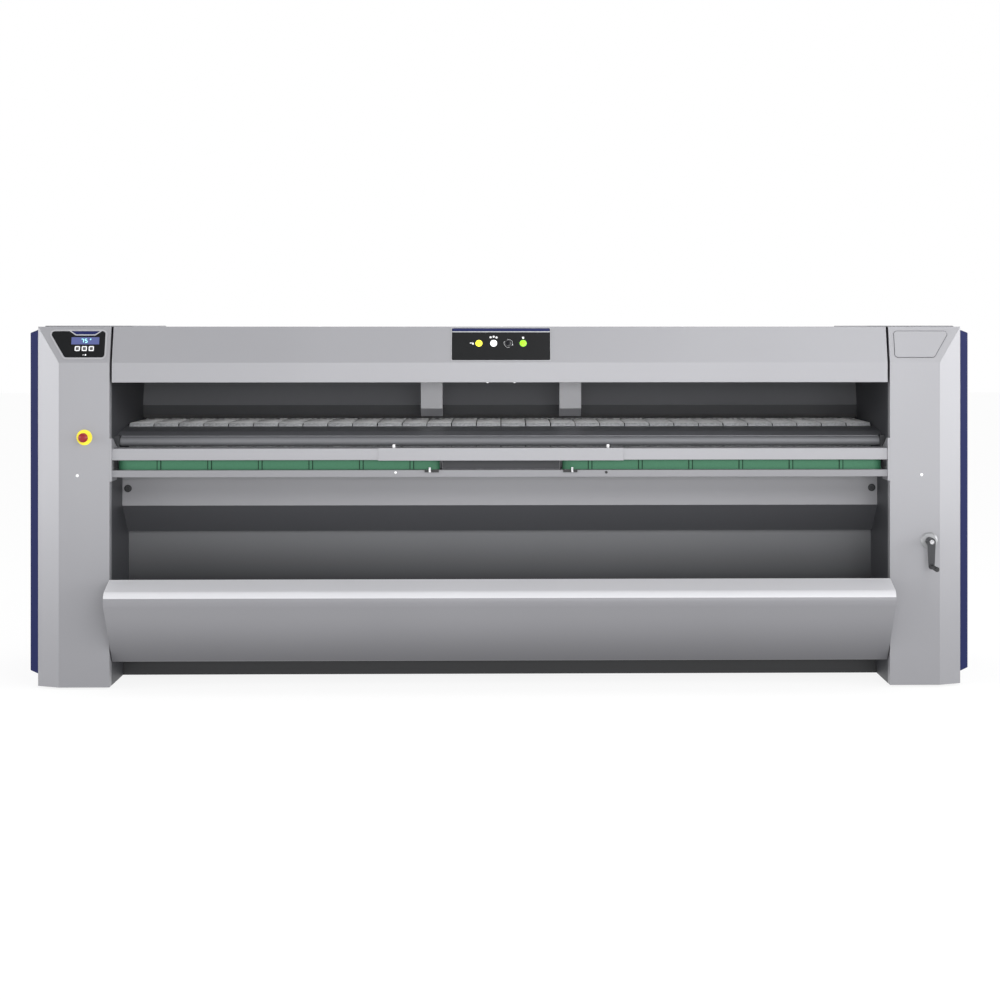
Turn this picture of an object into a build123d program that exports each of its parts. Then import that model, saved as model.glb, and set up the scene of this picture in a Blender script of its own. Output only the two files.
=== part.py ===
from build123d import *
import os
from math import asin, atan2, cos, degrees, hypot, pi, radians, sin, sqrt, tan

# Flatwork ironer, front feed and front return. Millimetres, +X to the right, +Y to the rear, +Z up.
# Depths ("d") are measured rearwards from the front plane of the two end columns.
# A size ending in "_IN" is measured from the columns' inner faces: outwards on the columns and
# inwards between them.

# ---------------------------------------------------------------- overall
HEIGHT = 1400.0
HALF_WIDTH = 1820.0
BODY_DEPTH = 995.0  # columns' front plane to the rear cover's outer face
FEED_Z = 1007.0  # top of the feed belts
TROUGH_REACH = 175.0  # collecting trough in front of the columns
SPIGOT_REACH = 60.0  # exhaust spigot behind the rear cover
RUN_GAP = 0.3  # between pieces that move past each other
BORE_GAP = 0.05  # radial clearance of a shaft in its bore
TOUCH = 0.01  # wheels closer than this share a tangent point
PAST = 1.0  # how far a cutting shape runs past the face that it cuts

# ---------------------------------------------------------------- casing
SHEET = 2.5
LID_T = 4.0
LID_EDGE = 22.0
LID_BEVEL = 3.0
LID_OVER = 81.0  # a lid's reach over the hood
SKIRT_Z = 8.0  # lower edge of the casing
COLUMN_W = 282.0
COLUMN_FACE_W = 194.0
SIDE_PANEL_T = 32.0
PANEL_BEVEL = 12.0
PANEL_LOW_Z = 55.0
PANEL_TOP_DROP = 12.0
PANEL_FRONT_GAP = 2.0
HEAD_H = 139.0  # height of the slanted head
HEAD_D = 45.0  # depth of the slanted head and of the column's corner chamfer
REAR_T = 2.0
REAR_SEAM = 2.0  # between the rear sheets
CHEEK_D = 49.0  # depth of the column's inner cheek, where the side frame starts
FRAME_T = 8.0
HOOD_IN = 9.0
HOOD_FRONT_H = 76.0
HOOD_LIP = 40.0
HOOD_FLANGE_D = 70.0
HOOD_BOSS_R = 9.0
HOOD_BOSS_RISE = 43.0  # above the foot of the slope
HOOD_BOSS_D = 84.0
HOOD_END_D = 112.0
SLOT_COLUMNS = 7
SLOT_ROWS = 3
SLOT_PITCH_X = 400.0
SLOT_PITCH_Z = 30.0
SLOT_LOW_Z = 180.0
SLOT_W = 220.0
SLOT_H = 8.0

# ---------------------------------------------------------------- feed belts and heated cylinder
BELT_T = 3.0
LANE_PITCH = 100.0  # about: the lanes share the width between the side frames
LANE_GAP = 4.0
LANES_PER_BAND = 3  # felt lanes lying side by side in one band
BAND_IN = 6.0
DRUM_R = 239.5
DRUM_WALL = 8.0
DRUM_DROP = 22.5  # the cylinder's top below the belts' top run
DRUM_IN = 18.0
DRUM_END_T = 12.0
DRUM_HOLES = 4
DRUM_HOLE_R = 38.0
DRUM_HOLE_CIRCLE_R = 145.0
JOURNAL_R = 60.0
JOURNAL_BORE_R = 45.0
JOURNAL_END = 10.0  # journal past the pulley
FRONT_ROLLER_R = 27.0
FRONT_ROLLER_REACH = 247.0  # in front of the cylinder's axis
NIP_ROLLER_R = 55.0
NIP_CLEAR = 12.0  # belts to rear cover
TAKE_OFF_R = 27.0
TAKE_OFF_ANGLE = 200.0  # round the cylinder from its rear side, where the linen peels off
ROLLER_IN = 3.0
ROLLER_PIN_R = 12.0
HOLE_GAP = 2.0  # round a shaft that passes through a sheet or frame
BEARING_T = 20.0
BEARING_HALF = 32.0
DRUM_BEARING_T = 40.0
DRUM_BEARING_HALF = 90.0
DRUM_BEARING_CORNER = 30.0
BED_T = 2.5
BED_LIP = 26.0
BED_CLEAR = 12.0

# ---------------------------------------------------------------- drive
PULLEY_OUT = 44.0  # drive pulleys outside the side frame
PULLEY_W = 30.0
DRUM_PULLEY_R = 150.0
PULLEY_DISH = 8.0
PULLEY_RIM = 14.0
PULLEY_HUB = 18.0
MOTOR_PULLEY_R = 40.0
MOTOR_PULLEY_BEVEL = 2.0
DRIVE_BELT_T = 4.0
DRIVE_BELT_W = 24.0
CRANK_IN = 152.0
CRANK_Z = 567.0
GEAR_D = 330.0
GEAR_SIZE = 120.0
GEAR_HALF_W = 50.0
GEAR_OFFSET = 50.0  # worm shaft above the output shaft
GEAR_PAD = 64.0
GEAR_CORNER = 18.0
WORM_BORE_L = 30.0
OUTPUT_R = 12.0
OUTPUT_END = 20.0  # the output shaft stops short of the gearbox's middle
BORE_END = 5.0  # its bore runs on past it
MOTOR_R = 62.0
MOTOR_LENGTH = 250.0
MOTOR_FLANGE_T = 12.0
MOTOR_STEP = 8.0  # the flange stands as far out of the fins as they do of the core
FIN_COUNT = 12
FIN_START = 24.0
FIN_PITCH = 13.0
FIN_T = 4.0
COWL_L = 60.0
COWL_EDGE = 2.0
TERMINAL_START = 60.0
TERMINAL_L = 90.0
TERMINAL_HALF = 40.0
TERMINAL_SINK = 10.0
TERMINAL_RISE = 35.0
SHELF_T = 8.0
GUSSET_H = 82.0

# ---------------------------------------------------------------- feeding side
TABLE_EDGE_GAP = 30.0  # the table's rear edge in front of the front roller's axis
TABLE_EDGE_DROP = 13.0
TABLE_KNEE_D = 250.0
TABLE_KNEE_DROP = 26.0
TABLE_FRONT_D = 180.0
TABLE_FRONT_DROP = 39.0
TABLE_LIP = 30.0
GUIDE_R = 18.0
GUIDE_D = 154.0
GUIDE_DROP = 60.0
GUIDE_IN = 18.0
GUIDE_BEVEL = 2.0
GUIDE_PIN_R = 8.0
GUIDE_PIN_L = 15.0
GUIDE_PIN_SPARE = 1.0  # its bore runs on past the pin
GUIDE_BLOCK_HALF = 24.0
BEAM_D = 8.0
BEAM_REAR_D = 125.0
BEAM_IN = 8.0
COVER_LOW_Z = 881.0
COVER_TOP_Z = 926.0
RAIL_LOW_Z = 816.0
RAIL_TOP_Z = 842.0
CENTRE_HALF = 474.0
CENTRE_T = 3.0
CENTRE_RISE = 8.0
CENTRE_DROP = 2.0
CENTRE_LIP = 30.0
BRACKET_LOW_Z = 800.0
BRACKET_TOP_Z = 965.0
BRACKET_FLAT_D = 30.0
BRACKET_GAP = 2.0
BACK_PLATE_T = 5.0
BACK_PLATE_GAP = 10.0
SPREAD_BELT_R = 37.0
SPREAD_BELT_T = 3.0
SPREAD_BELT_INSET = 1.0
SPREAD_INSET = 20.0  # the green belts' faces behind the beam's face
SPREAD_INNER_X = 275.0
SPREAD_OUTER_IN = 62.0
SPREAD_PIN_R = 8.0
SPREAD_RIM = 6.0
SPREAD_DISH = 8.0
CLEAT_PITCH = 195.0
CLEAT_FIRST_X = 345.0
CLEAT_W = 10.0
CLEAT_H = 3.0

# ---------------------------------------------------------------- delivery side
APRON_REACH = 138.0  # in front of the take-off roller's axis
APRON_TOP_Z = 830.0
APRON_KNEE_Z = 683.0
APRON_END_REACH = 1.0
APRON_END_Z = 571.0
APRON_LIP = 30.0
CHUTE_GAP = 26.0  # behind the take-off roller's axis
CHUTE_TOP_Z = 600.0
CHUTE_LIP = 25.0
TROUGH_IN = 4.0
TROUGH_SHEET = 3.0
LIP_D = -32.0
LIP_Z = 424.0
LIP_R = 5.0
LIP_LAP = 1.0  # the rolled lip runs this far over the sheet
NOSE_D = -207.1  # where the trough's upper and lower flats would meet
NOSE_Z = 378.5
NOSE_R = 38.2
FLOOR_D = 40.0
FLOOR_Z = 101.0
FLOOR_BEND = 12.0
PLINTH_D = 330.0
PLINTH_LIP = 14.0
END_REAR_H = 140.0
END_RIM = 20.0  # the end plates' rim below the trough's lip
END_PAD_LOW = 40.0
END_PAD_GAP = 10.0

# ---------------------------------------------------------------- above the belts
GUARD_REACH = 153.0  # behind the cylinder's axis
GUARD_CLEAR = 15.0  # above the belts
GUARD_FRONT_H = 45.0
GUARD_LEAN = 18.4  # degrees from upright
FINGER_X = 285.0
FINGER_W = 90.0
FINGER_GAP = 142.0  # behind the front roller's axis
FINGER_CLEAR = 19.0  # above the belts
FINGER_TIP_H = 33.0
FINGER_REACH = 45.0
FINGER_CHEEK = 22.0
FINGER_CHEEK_RISE = 20.0

# ---------------------------------------------------------------- controls
PLATE_T = 3.0
INDICATOR_HALF = 190.0
INDICATOR_CORNER = 6.0
INDICATOR_LOW = 10.0  # along the slope from its lower edge
INDICATOR_HIGH = 139.0
LAMP_COUNT = 4
LAMP_R = 13.0
LAMP_PITCH = 57.0
LAMP_RISE = 4.0
LAMP_ALONG = 77.0
DISPLAY_IN = 21.0
DISPLAY_W_LOW = 152.0
DISPLAY_W_TOP = 215.0
DISPLAY_LOW = 21.5
DISPLAY_HIGH = 127.0
DISPLAY_CORNER = 12.0
WINDOW_IN = 96.5
WINDOW_W = 107.0
WINDOW_H = 29.0
WINDOW_ALONG = 88.0
WINDOW_SINK = 0.5
KEY_COUNT = 3
KEY_SIZE = 20.0
KEY_CORNER = 3.0
KEY_PITCH = 26.8
KEY_IN = 98.5
KEY_ALONG = 56.0
KEY_RISE = 1.5
KEY_TRAVEL = 1.0
STOP_IN = 96.0
STOP_Z = 970.0
STOP_BASE_R = 30.0
STOP_BASE_EDGE = 1.0
STOP_COLLAR_T = 5.0
STOP_COLLAR_L = 13.0
STOP_HEAD_R = 18.0
STOP_HEAD_T = 17.0
STOP_HEAD_BACK = 4.0
STOP_HEAD_DOME = 5.0
STOP_FACE_R = 9.0
STOP_STEM_R = 10.0
STOP_REACH = 41.0
STOP_STEM_L = 15.0
STOP_TRAVEL = 6.0
STOP_SPARE = 2.0  # left behind the pressed head
BEZEL_R = 33.0
BEZEL_T = 6.0
BEZEL_BEVEL = 6.0
BEZEL_RIM = 2.0
CRANK_FACE = 58.0  # the arm's face in front of the column
CRANK_ARM_T = 12.0
CRANK_ARM_L = 95.0
CRANK_HUB_R = 15.0
CRANK_TIP_R = 11.0
CRANK_SHAFT_R = 8.0
CRANK_SHAFT_SHORT = 2.0  # the shaft ends this far before its bore does
GRIP_R = 9.5
GRIP_REACH = 172.0
GRIP_END_T = 6.0
GRIP_PIN_R = 4.0
GRIP_NECK = 1.5
GRIP_CUFF = 8.0
GRIP_WAIST = 40.0
GRIP_BELLY = 20.0
GRIP_TIP = 4.0
GRIP_ROUND = 3.0

# ---------------------------------------------------------------- hidden services
FAN_GAP = 43.0  # duct's end to rear cover
FAN_DROP = 156.0  # its axis below the top
FAN_R = 150.0
FAN_W = 190.0
FAN_WALL = 3.0
FAN_INLET_R = 80.0
FAN_MOTOR_R = 50.0
FAN_MOTOR_L = 60.0
FAN_SHAFT_BORE_L = 40.0
FAN_SHAFT_END = 2.0
IMPELLER_R = 120.0
IMPELLER_W = 150.0
IMPELLER_CLEAR = 12.0
IMPELLER_DISC_T = 4.0
IMPELLER_HUB_L = 30.0
BLADE_COUNT = 10
BLADE_ARC_R = 24.0
BLADE_INSET = 22.0
BLADE_START = 200.0  # degrees
BLADE_SWEEP = 110.0  # degrees
BLADE_T = 2.5
BLADE_SINK = 2.0
SPIGOT_R = 70.0
SPIGOT_NECK_R = 66.0  # where the spigot passes through the rear cover
SPIGOT_FLANGE_R = 84.0
SPIGOT_FLANGE_T = 2.0
ELEMENT_TUBE_R = 30.0
ELEMENT_TUBE_END = 20.0
ELEMENT_R = 8.0
ELEMENT_CIRCLE_R = 160.0
ELEMENT_COUNT = 6
ELEMENT_IN = 66.0
SPIDER_INSET = 150.0
SPIDER_R = 172.0
SPIDER_W = 24.0
SPIDER_T = 6.0
STANDOFF_R = 175.0
STANDOFF_ROD_R = 10.0
STANDOFF_OUT = 136.0  # length of the rods outside the side frame
HANGER_T = 8.0
HANGER_BACK = 45.0
HANGER_WAIST = 30.0
HANGER_EYE = 25.0
FOOT_R = 30.0
FOOT_H = 9.0
FOOT_IN = 131.0
FOOT_FRONT_D = 110.0
FOOT_REAR_GAP = 63.0
SPINDLE_R = 10.0
SPINDLE_RISE = 40.0
NUT_R = 17.0
NUT_T = 10.0
BASE_T = 8.0
TIE_W = 60.0
TIE_WALL = 4.0
TIE_LOW_Z = 20.0
TIE_FRONT_GAP = 15.0
TIE_REAR_GAP = 10.0
BOX_D = 100.0
BOX_REAR_GAP = 26.0  # to the front roller's bearing block
BOX_LOW_Z = 560.0
BOX_TOP_Z = 1000.0
BOX_W = 110.0
DOOR_T = 6.0
DOOR_EDGE = 8.0
BOX_GLAND_R = 12.0
BOX_GLAND_L = 18.0
BOX_GLAND_START = 80.0
BOX_GLAND_PITCH = 75.0
BOX_GLAND_SPARE = 40.0  # left behind the last gland
GLAND_IN = 144.0
GLAND_Z = 150.0
GLAND_R = 16.0
GLAND_HEX_R = 21.0
GLAND_HEX_T = 8.0
GLAND_BORE_R = 8.0
GLAND_SHANK_R = 12.0
GLAND_SHANK_L = 12.0  # threaded shank behind the rear cover's outer face
GLAND_NUT_T = 6.0
GLAND_REACH = 30.0

# ---------------------------------------------------------------- places worked out from the sizes
FRONT_Y = TROUGH_REACH - (TROUGH_REACH + BODY_DEPTH + SPIGOT_REACH) / 2
TOP_Z = HEIGHT - LID_T
HEAD_Z = TOP_Z - HEAD_H
COLUMN_EDGE_X = HALF_WIDTH - SIDE_PANEL_T
COLUMN_INNER_X = COLUMN_EDGE_X - COLUMN_W
FRAME_X = COLUMN_INNER_X + FRAME_T
SEAM_X = COLUMN_INNER_X + FRAME_T / 2
REAR_D = BODY_DEPTH - REAR_T
HOOD_HALF = COLUMN_INNER_X - HOOD_IN
HOOD_LOW_Z = HEAD_Z - HOOD_FRONT_H
HOOD_BOSS_Z = HEAD_Z + HOOD_BOSS_RISE
SLOPE_LENGTH = hypot(HEAD_D, HEAD_H)
SLOPE_UP = (HEAD_D / SLOPE_LENGTH, HEAD_H / SLOPE_LENGTH)

BANDS_SPAN = 2 * (COLUMN_INNER_X - BAND_IN)
BAND_COUNT = round(BANDS_SPAN / (LANE_PITCH * LANES_PER_BAND))
BAND_PITCH = BANDS_SPAN / BAND_COUNT
BAND_W = BAND_PITCH - LANE_GAP
DRUM_HALF = COLUMN_INNER_X - DRUM_IN
DRUM_Z = FEED_Z - DRUM_DROP - DRUM_R
NIP_ROLLER_Z = FEED_Z - BELT_T - RUN_GAP - NIP_ROLLER_R
NIP_ROLLER_D = REAR_D - NIP_CLEAR - BELT_T - RUN_GAP - NIP_ROLLER_R
NIP_REACH = DRUM_R + BELT_T + 2 * RUN_GAP + NIP_ROLLER_R
DRUM_D = NIP_ROLLER_D - sqrt(NIP_REACH**2 - (NIP_ROLLER_Z - DRUM_Z) ** 2)
FRONT_ROLLER_Z = FEED_Z - BELT_T - RUN_GAP - FRONT_ROLLER_R
FRONT_ROLLER_D = DRUM_D - FRONT_ROLLER_REACH
TAKE_OFF_REACH = DRUM_R + BELT_T + 2 * RUN_GAP + TAKE_OFF_R
TAKE_OFF_D = DRUM_D + TAKE_OFF_REACH * cos(radians(TAKE_OFF_ANGLE))
TAKE_OFF_Z = DRUM_Z + TAKE_OFF_REACH * sin(radians(TAKE_OFF_ANGLE))
ROLLER_HALF = COLUMN_INNER_X - ROLLER_IN
ROLLERS = {
    "front_roller": (FRONT_ROLLER_D, FRONT_ROLLER_Z, FRONT_ROLLER_R),
    "nip_roller": (NIP_ROLLER_D, NIP_ROLLER_Z, NIP_ROLLER_R),
    "take_off_roller": (TAKE_OFF_D, TAKE_OFF_Z, TAKE_OFF_R),
}

PULLEY_X = FRAME_X + PULLEY_OUT
CRANK_X = COLUMN_INNER_X + CRANK_IN
GEAR_REAR_D = GEAR_D + GEAR_SIZE
OUTPUT_D = GEAR_D + GEAR_SIZE / 2
OUTPUT_Z = CRANK_Z - GEAR_OFFSET
GEAR_LOW_Z = OUTPUT_Z - GEAR_PAD

TABLE_EDGE_D = FRONT_ROLLER_D - TABLE_EDGE_GAP
TABLE_EDGE_Z = FEED_Z - TABLE_EDGE_DROP
TABLE_KNEE_Z = FEED_Z - TABLE_KNEE_DROP
TABLE_FRONT_Z = FEED_Z - TABLE_FRONT_DROP
GUIDE_Z = FEED_Z - GUIDE_DROP
GUIDE_HALF = COLUMN_INNER_X - GUIDE_IN
BEAM_HALF = COLUMN_INNER_X - BEAM_IN
SPREAD_D = BEAM_D + SPREAD_INSET + SPREAD_BELT_R
SPREAD_OUTER_X = COLUMN_INNER_X - SPREAD_OUTER_IN
SPREAD_WHEEL_R = SPREAD_BELT_R - SPREAD_BELT_T - RUN_GAP

APRON_D = TAKE_OFF_D - APRON_REACH
APRON_END_D = TAKE_OFF_D - APRON_END_REACH
CHUTE_D = TAKE_OFF_D + CHUTE_GAP
TROUGH_HALF = COLUMN_INNER_X - TROUGH_IN
TROUGH_PATH = [(CHUTE_D + SHEET, FLOOR_Z), (FLOOR_D, FLOOR_Z), (NOSE_D, NOSE_Z), (LIP_D, LIP_Z)]
TROUGH_BENDS = [FLOOR_BEND, NOSE_R - TROUGH_SHEET]

GUARD_D = DRUM_D + GUARD_REACH
GUARD_LOW_Z = FEED_Z + GUARD_CLEAR
GUARD_KNEE_Z = GUARD_LOW_Z + GUARD_FRONT_H
FINGER_D = FRONT_ROLLER_D + FINGER_GAP
FINGER_LOW_Z = FEED_Z + FINGER_CLEAR
FINGER_KNEE_Z = FINGER_LOW_Z + FINGER_TIP_H

DISPLAY_X = COLUMN_INNER_X + DISPLAY_IN
WINDOW_X = COLUMN_INNER_X + WINDOW_IN
KEY_X = COLUMN_INNER_X + KEY_IN
STOP_X = COLUMN_INNER_X + STOP_IN

DUCT_END_D = REAR_D - FAN_GAP
FAN_D = DUCT_END_D - FAN_R
FAN_Z = TOP_Z - FAN_DROP
FAN_X = FRAME_X + FAN_W / 2
SPIGOT_Z = FAN_Z + FAN_R / 2
ELEMENT_HALF = COLUMN_INNER_X - ELEMENT_IN
STANDOFF_X = FRAME_X + STANDOFF_OUT
FOOT_X = COLUMN_INNER_X + FOOT_IN
FOOT_REAR_D = REAR_D - FOOT_REAR_GAP
GLAND_X = COLUMN_INNER_X + GLAND_IN


# ---------------------------------------------------------------- drawing helpers
def y_at(d):
    """Y of a depth behind the columns' front plane."""
    return FRONT_Y + d


def plate(points, x0, x1):
    """A flat-sided piece: an outline of (depth, height) points, extruded along X."""
    outline = Polyline(*[(y_at(d), z) for d, z in points], close=True)
    return extrude(Plane.YZ.offset(x0) * make_face(outline), amount=x1 - x0)


def block(x0, x1, d0, d1, z0, z1):
    """A box between two corners given as X, depth and height."""
    centre = Pos((x0 + x1) / 2, y_at((d0 + d1) / 2), (z0 + z1) / 2)
    return centre * Box(x1 - x0, d1 - d0, z1 - z0)


def rod_x(x0, x1, d, z, radius):
    """A round bar along X."""
    return extrude(Plane.YZ.offset(x0) * Pos(y_at(d), z) * Circle(radius), amount=x1 - x0)


def rod_y(x, z, d0, d1, radius):
    """A round bar along Y."""
    plane = Plane(origin=(x, y_at(d0), z), x_dir=(1, 0, 0), z_dir=(0, 1, 0))
    return extrude(plane * Circle(radius), amount=d1 - d0)


def rod_z(x, d, z0, z1, radius):
    """A round bar along Z."""
    return extrude(Pos(x, y_at(d), z0) * Circle(radius), amount=z1 - z0)


def both_sides(piece):
    """A piece with its mirror image on the other side of the machine."""
    return Compound([*piece.solids(), *mirror(piece, about=Plane.YZ).solids()])


def offset_path(points, distance):
    """Points of a path moved to its left, with mitred corners."""
    steps = [(b[0] - a[0], b[1] - a[1]) for a, b in zip(points, points[1:])]
    normals = [(-v / hypot(u, v), u / hypot(u, v)) for u, v in steps]
    moved = []
    for index, (px, py) in enumerate(points):
        before = normals[max(index - 1, 0)]
        after = normals[min(index, len(normals) - 1)]
        scale = distance / (1 + before[0] * after[0] + before[1] * after[1])
        moved.append((px + scale * (before[0] + after[0]), py + scale * (before[1] + after[1])))
    return moved


def turns_left(points):
    """For each inner corner of a path, whether it turns left."""
    corners = zip(points, points[1:], points[2:])
    return [(b[0] - a[0]) * (c[1] - b[1]) > (b[1] - a[1]) * (c[0] - b[0]) for a, b, c in corners]


def bent_sheet(path, thickness, x0, x1, bends=0.0):
    """A bent sheet along X. The path is its right-hand face, and bends are the inner bend radii."""
    left = turns_left(path)
    inner = bends if isinstance(bends, list) else [bends] * len(left)
    near = [(y_at(d), z) for d, z in path]
    far = [(y_at(d), z) for d, z in offset_path(path, thickness)]
    wall = abs(thickness)
    near_radii = [r + wall if r and turn == (thickness > 0) else r for r, turn in zip(inner, left)]
    far_radii = [r + wall if r and turn != (thickness > 0) else r for r, turn in zip(inner, left)]
    edges = []
    for points, radii in ((near, near_radii), (far, far_radii)):
        edges += FilletPolyline(*points, radius=radii).edges() if any(radii) else Polyline(*points).edges()
    edges += [Line(near[0], far[0]), Line(near[-1], far[-1])]
    return extrude(Plane.YZ.offset(x0) * make_face(edges), amount=x1 - x0)


def belt_loop(wheels, shift):
    """The closed line of a belt round wheels given as (x, y, radius, side).

    The side is 1 for a wheel inside the loop and -1 for one outside it, in counter-clockwise order.
    The line runs outside the inner wheels by the shift, and inside the outer ones by the same shift.
    """
    signed = [(x, y, side * radius + shift) for x, y, radius, side in wheels]
    leaves = []
    for (ax, ay, ar), (bx, by, br) in zip(signed, signed[1:] + signed[:1]):
        slope = max(-1.0, min(1.0, (br - ar) / hypot(bx - ax, by - ay)))
        leaves.append(atan2(by - ay, bx - ax) - asin(slope))
    arcs = []
    for index, (x, y, r) in enumerate(signed):
        start = leaves[index - 1] - pi / 2
        sweep = (leaves[index] - leaves[index - 1]) % (2 * pi)
        sweep = sweep if r > 0 else sweep - 2 * pi
        arcs.append([(x + r * cos(start + sweep * k), y + r * sin(start + sweep * k)) for k in (0, 0.5, 1)])
    edges = []
    for arc, following in zip(arcs, arcs[1:] + arcs[:1]):
        if hypot(arc[2][0] - following[0][0], arc[2][1] - following[0][1]) < TOUCH:
            following[0] = arc[2]
        else:
            edges.append(Line(arc[2], following[0]))
    return make_face(edges + [ThreePointArc(*arc) for arc in arcs])


def belt_section(wheels, inside, thickness):
    """The ring-shaped side face of a belt that lies a clearance off its wheels."""
    shifted = [(x, y, r + (inside if s > 0 else inside + thickness), s) for x, y, r, s in wheels]
    return belt_loop(shifted, thickness) - belt_loop(shifted, 0.0)


def slope_plane(x, along):
    """A plane on the slanted head: its Y runs up the slope and its normal faces the user."""
    up_y, up_z = SLOPE_UP
    origin = (x, y_at(along * up_y), HEAD_Z + along * up_z)
    return Plane(origin=origin, x_dir=(1, 0, 0), z_dir=(0, -up_z, up_y))


# ---------------------------------------------------------------- casing
def column_body(inset, low_z, rear_d, inner_x):
    """A column's volume: its chamfered plan and its slanted head, moved inwards by a sheet."""
    plan = [(COLUMN_INNER_X, 0), (COLUMN_INNER_X + COLUMN_FACE_W, 0)]
    plan += [(COLUMN_EDGE_X, HEAD_D), (COLUMN_EDGE_X, rear_d)]
    plan = offset_path(plan, inset)
    plan = [(inner_x, plan[0][1]), *plan[1:], (inner_x, plan[-1][1])]
    side = [(0, low_z), (0, HEAD_Z), (HEAD_D, TOP_Z), (rear_d, TOP_Z)]
    side = offset_path(side, -inset)
    side = [*side, (side[-1][0], low_z)]
    outline = Polyline(*[(x, y_at(d)) for x, d in plan], close=True)
    tower = extrude(Plane.XY.offset(low_z) * make_face(outline), amount=HEIGHT)
    return tower & plate(side, 0, HALF_WIDTH)


def column_cover():
    """Right column cover: a folded shell, open below, behind and towards the side frame."""
    shell = column_body(0, SKIRT_Z, REAR_D, COLUMN_INNER_X)
    hollow = column_body(SHEET, SKIRT_Z - PAST, REAR_D + PAST, COLUMN_INNER_X + SHEET)
    doorway = block(COLUMN_INNER_X - PAST, FRAME_X, CHEEK_D, REAR_D + PAST, SKIRT_Z - PAST, TOP_Z - SHEET)
    return shell - hollow - doorway


def column_cover_right():
    """The right column's cover, with the crank shaft's hole."""
    hole = rod_y(CRANK_X, CRANK_Z, -PAST, SHEET + PAST, CRANK_SHAFT_R + HOLE_GAP)
    return column_cover() - hole


def column_cover_left():
    """The left column's cover, with the stop button's hole."""
    hole = rod_y(-STOP_X, STOP_Z, -PAST, SHEET + PAST, STOP_STEM_R + HOLE_GAP)
    return mirror(column_cover(), about=Plane.YZ) - hole


def side_panel():
    """Right side panel: a bevelled tray screwed on the outside of the column."""
    low_d = HEAD_D + PANEL_FRONT_GAP
    high_z = TOP_Z - PANEL_TOP_DROP
    centre = (y_at((low_d + REAR_D) / 2), (PANEL_LOW_Z + high_z) / 2)
    bevel = degrees(atan2(PANEL_BEVEL, SIDE_PANEL_T))
    base = Plane.YZ.offset(COLUMN_EDGE_X) * Pos(*centre)
    size = (REAR_D - low_d, high_z - PANEL_LOW_Z)
    inner_size = (size[0] - 2 * SHEET, size[1] - 2 * SHEET)
    tray = extrude(base * Rectangle(*size), amount=SIDE_PANEL_T, taper=bevel)
    return tray - extrude(base * Rectangle(*inner_size), amount=SIDE_PANEL_T - SHEET, taper=bevel)


def hood_cover():
    """The front hood: a folded sheet with end plates and a boss to each side frame."""
    path = [(HOOD_FLANGE_D, TOP_Z), (HEAD_D, TOP_Z), (0, HEAD_Z), (0, HOOD_LOW_Z), (HOOD_LIP, HOOD_LOW_Z)]
    hood = bent_sheet(path, SHEET, -HOOD_HALF, HOOD_HALF)
    end = [(0, HOOD_LOW_Z), (0, HEAD_Z), (HEAD_D, TOP_Z), (HOOD_FLANGE_D, TOP_Z)]
    end += [(HOOD_FLANGE_D, TOP_Z - SHEET), (HOOD_END_D, TOP_Z - SHEET), (HOOD_END_D, HOOD_LOW_Z)]
    cheek = plate(end, HOOD_HALF - SHEET, HOOD_HALF)
    boss = rod_x(HOOD_HALF, COLUMN_INNER_X, HOOD_BOSS_D, HOOD_BOSS_Z, HOOD_BOSS_R)
    side = cheek + boss
    return hood + side + mirror(side, about=Plane.YZ)


def top_cover():
    return block(-HOOD_HALF, HOOD_HALF, HOOD_FLANGE_D, REAR_D, TOP_Z - SHEET, TOP_Z)


def rear_sheet(x0, x1):
    """One upright sheet of the rear cover."""
    return block(x0, x1, REAR_D, BODY_DEPTH, SKIRT_Z, TOP_Z)


def rear_cover():
    """Rear sheets: one with rows of air slots between the side frames and one behind each column.

    The left one has the holes for the spigot and for the cable gland.
    """
    front, rear = REAR_D - PAST, BODY_DEPTH + PAST
    middle = rear_sheet(REAR_SEAM / 2 - SEAM_X, SEAM_X - REAR_SEAM / 2)
    for column in range(SLOT_COLUMNS):
        left = (column - SLOT_COLUMNS / 2) * SLOT_PITCH_X + (SLOT_PITCH_X - SLOT_W) / 2
        for row in range(SLOT_ROWS):
            low = SLOT_LOW_Z + row * SLOT_PITCH_Z
            middle -= block(left, left + SLOT_W, front, rear, low, low + SLOT_H)
    outer = rear_sheet(SEAM_X + REAR_SEAM / 2, COLUMN_EDGE_X)
    service = mirror(outer, about=Plane.YZ)
    service -= rod_y(-FAN_X, SPIGOT_Z, front, rear, SPIGOT_NECK_R + RUN_GAP)
    service -= rod_y(-GLAND_X, GLAND_Z, front, rear, GLAND_SHANK_R + RUN_GAP)
    return Compound([*service.solids(), *middle.solids(), *outer.solids()])


def end_lids():
    """The raised lids over the two column heads, with bevelled edges."""
    inner, outer = COLUMN_INNER_X - LID_OVER, COLUMN_EDGE_X - LID_EDGE
    lid = block(inner, outer, HEAD_D + LID_EDGE, REAR_D - LID_EDGE, TOP_Z, HEIGHT)
    return both_sides(chamfer(lid.edges().group_by(Axis.Z)[-1], length=LID_BEVEL))


# ---------------------------------------------------------------- frame
def side_frame(extra_holes):
    """Right side frame: the plate that carries every roller, with a hole for each shaft."""
    outline = [(CHEEK_D, SKIRT_Z), (CHEEK_D, TOP_Z - SHEET), (REAR_D, TOP_Z - SHEET), (REAR_D, SKIRT_Z)]
    frame = plate(outline, COLUMN_INNER_X, FRAME_X)
    holes = [(DRUM_D, DRUM_Z, JOURNAL_R + HOLE_GAP)]
    holes += [(d, z, ROLLER_PIN_R + HOLE_GAP) for d, z, _ in ROLLERS.values()]
    for d, z, radius in holes + extra_holes:
        frame -= rod_x(COLUMN_INNER_X - PAST, FRAME_X + PAST, d, z, radius)
    return frame


def side_frame_right():
    return side_frame([])


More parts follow.
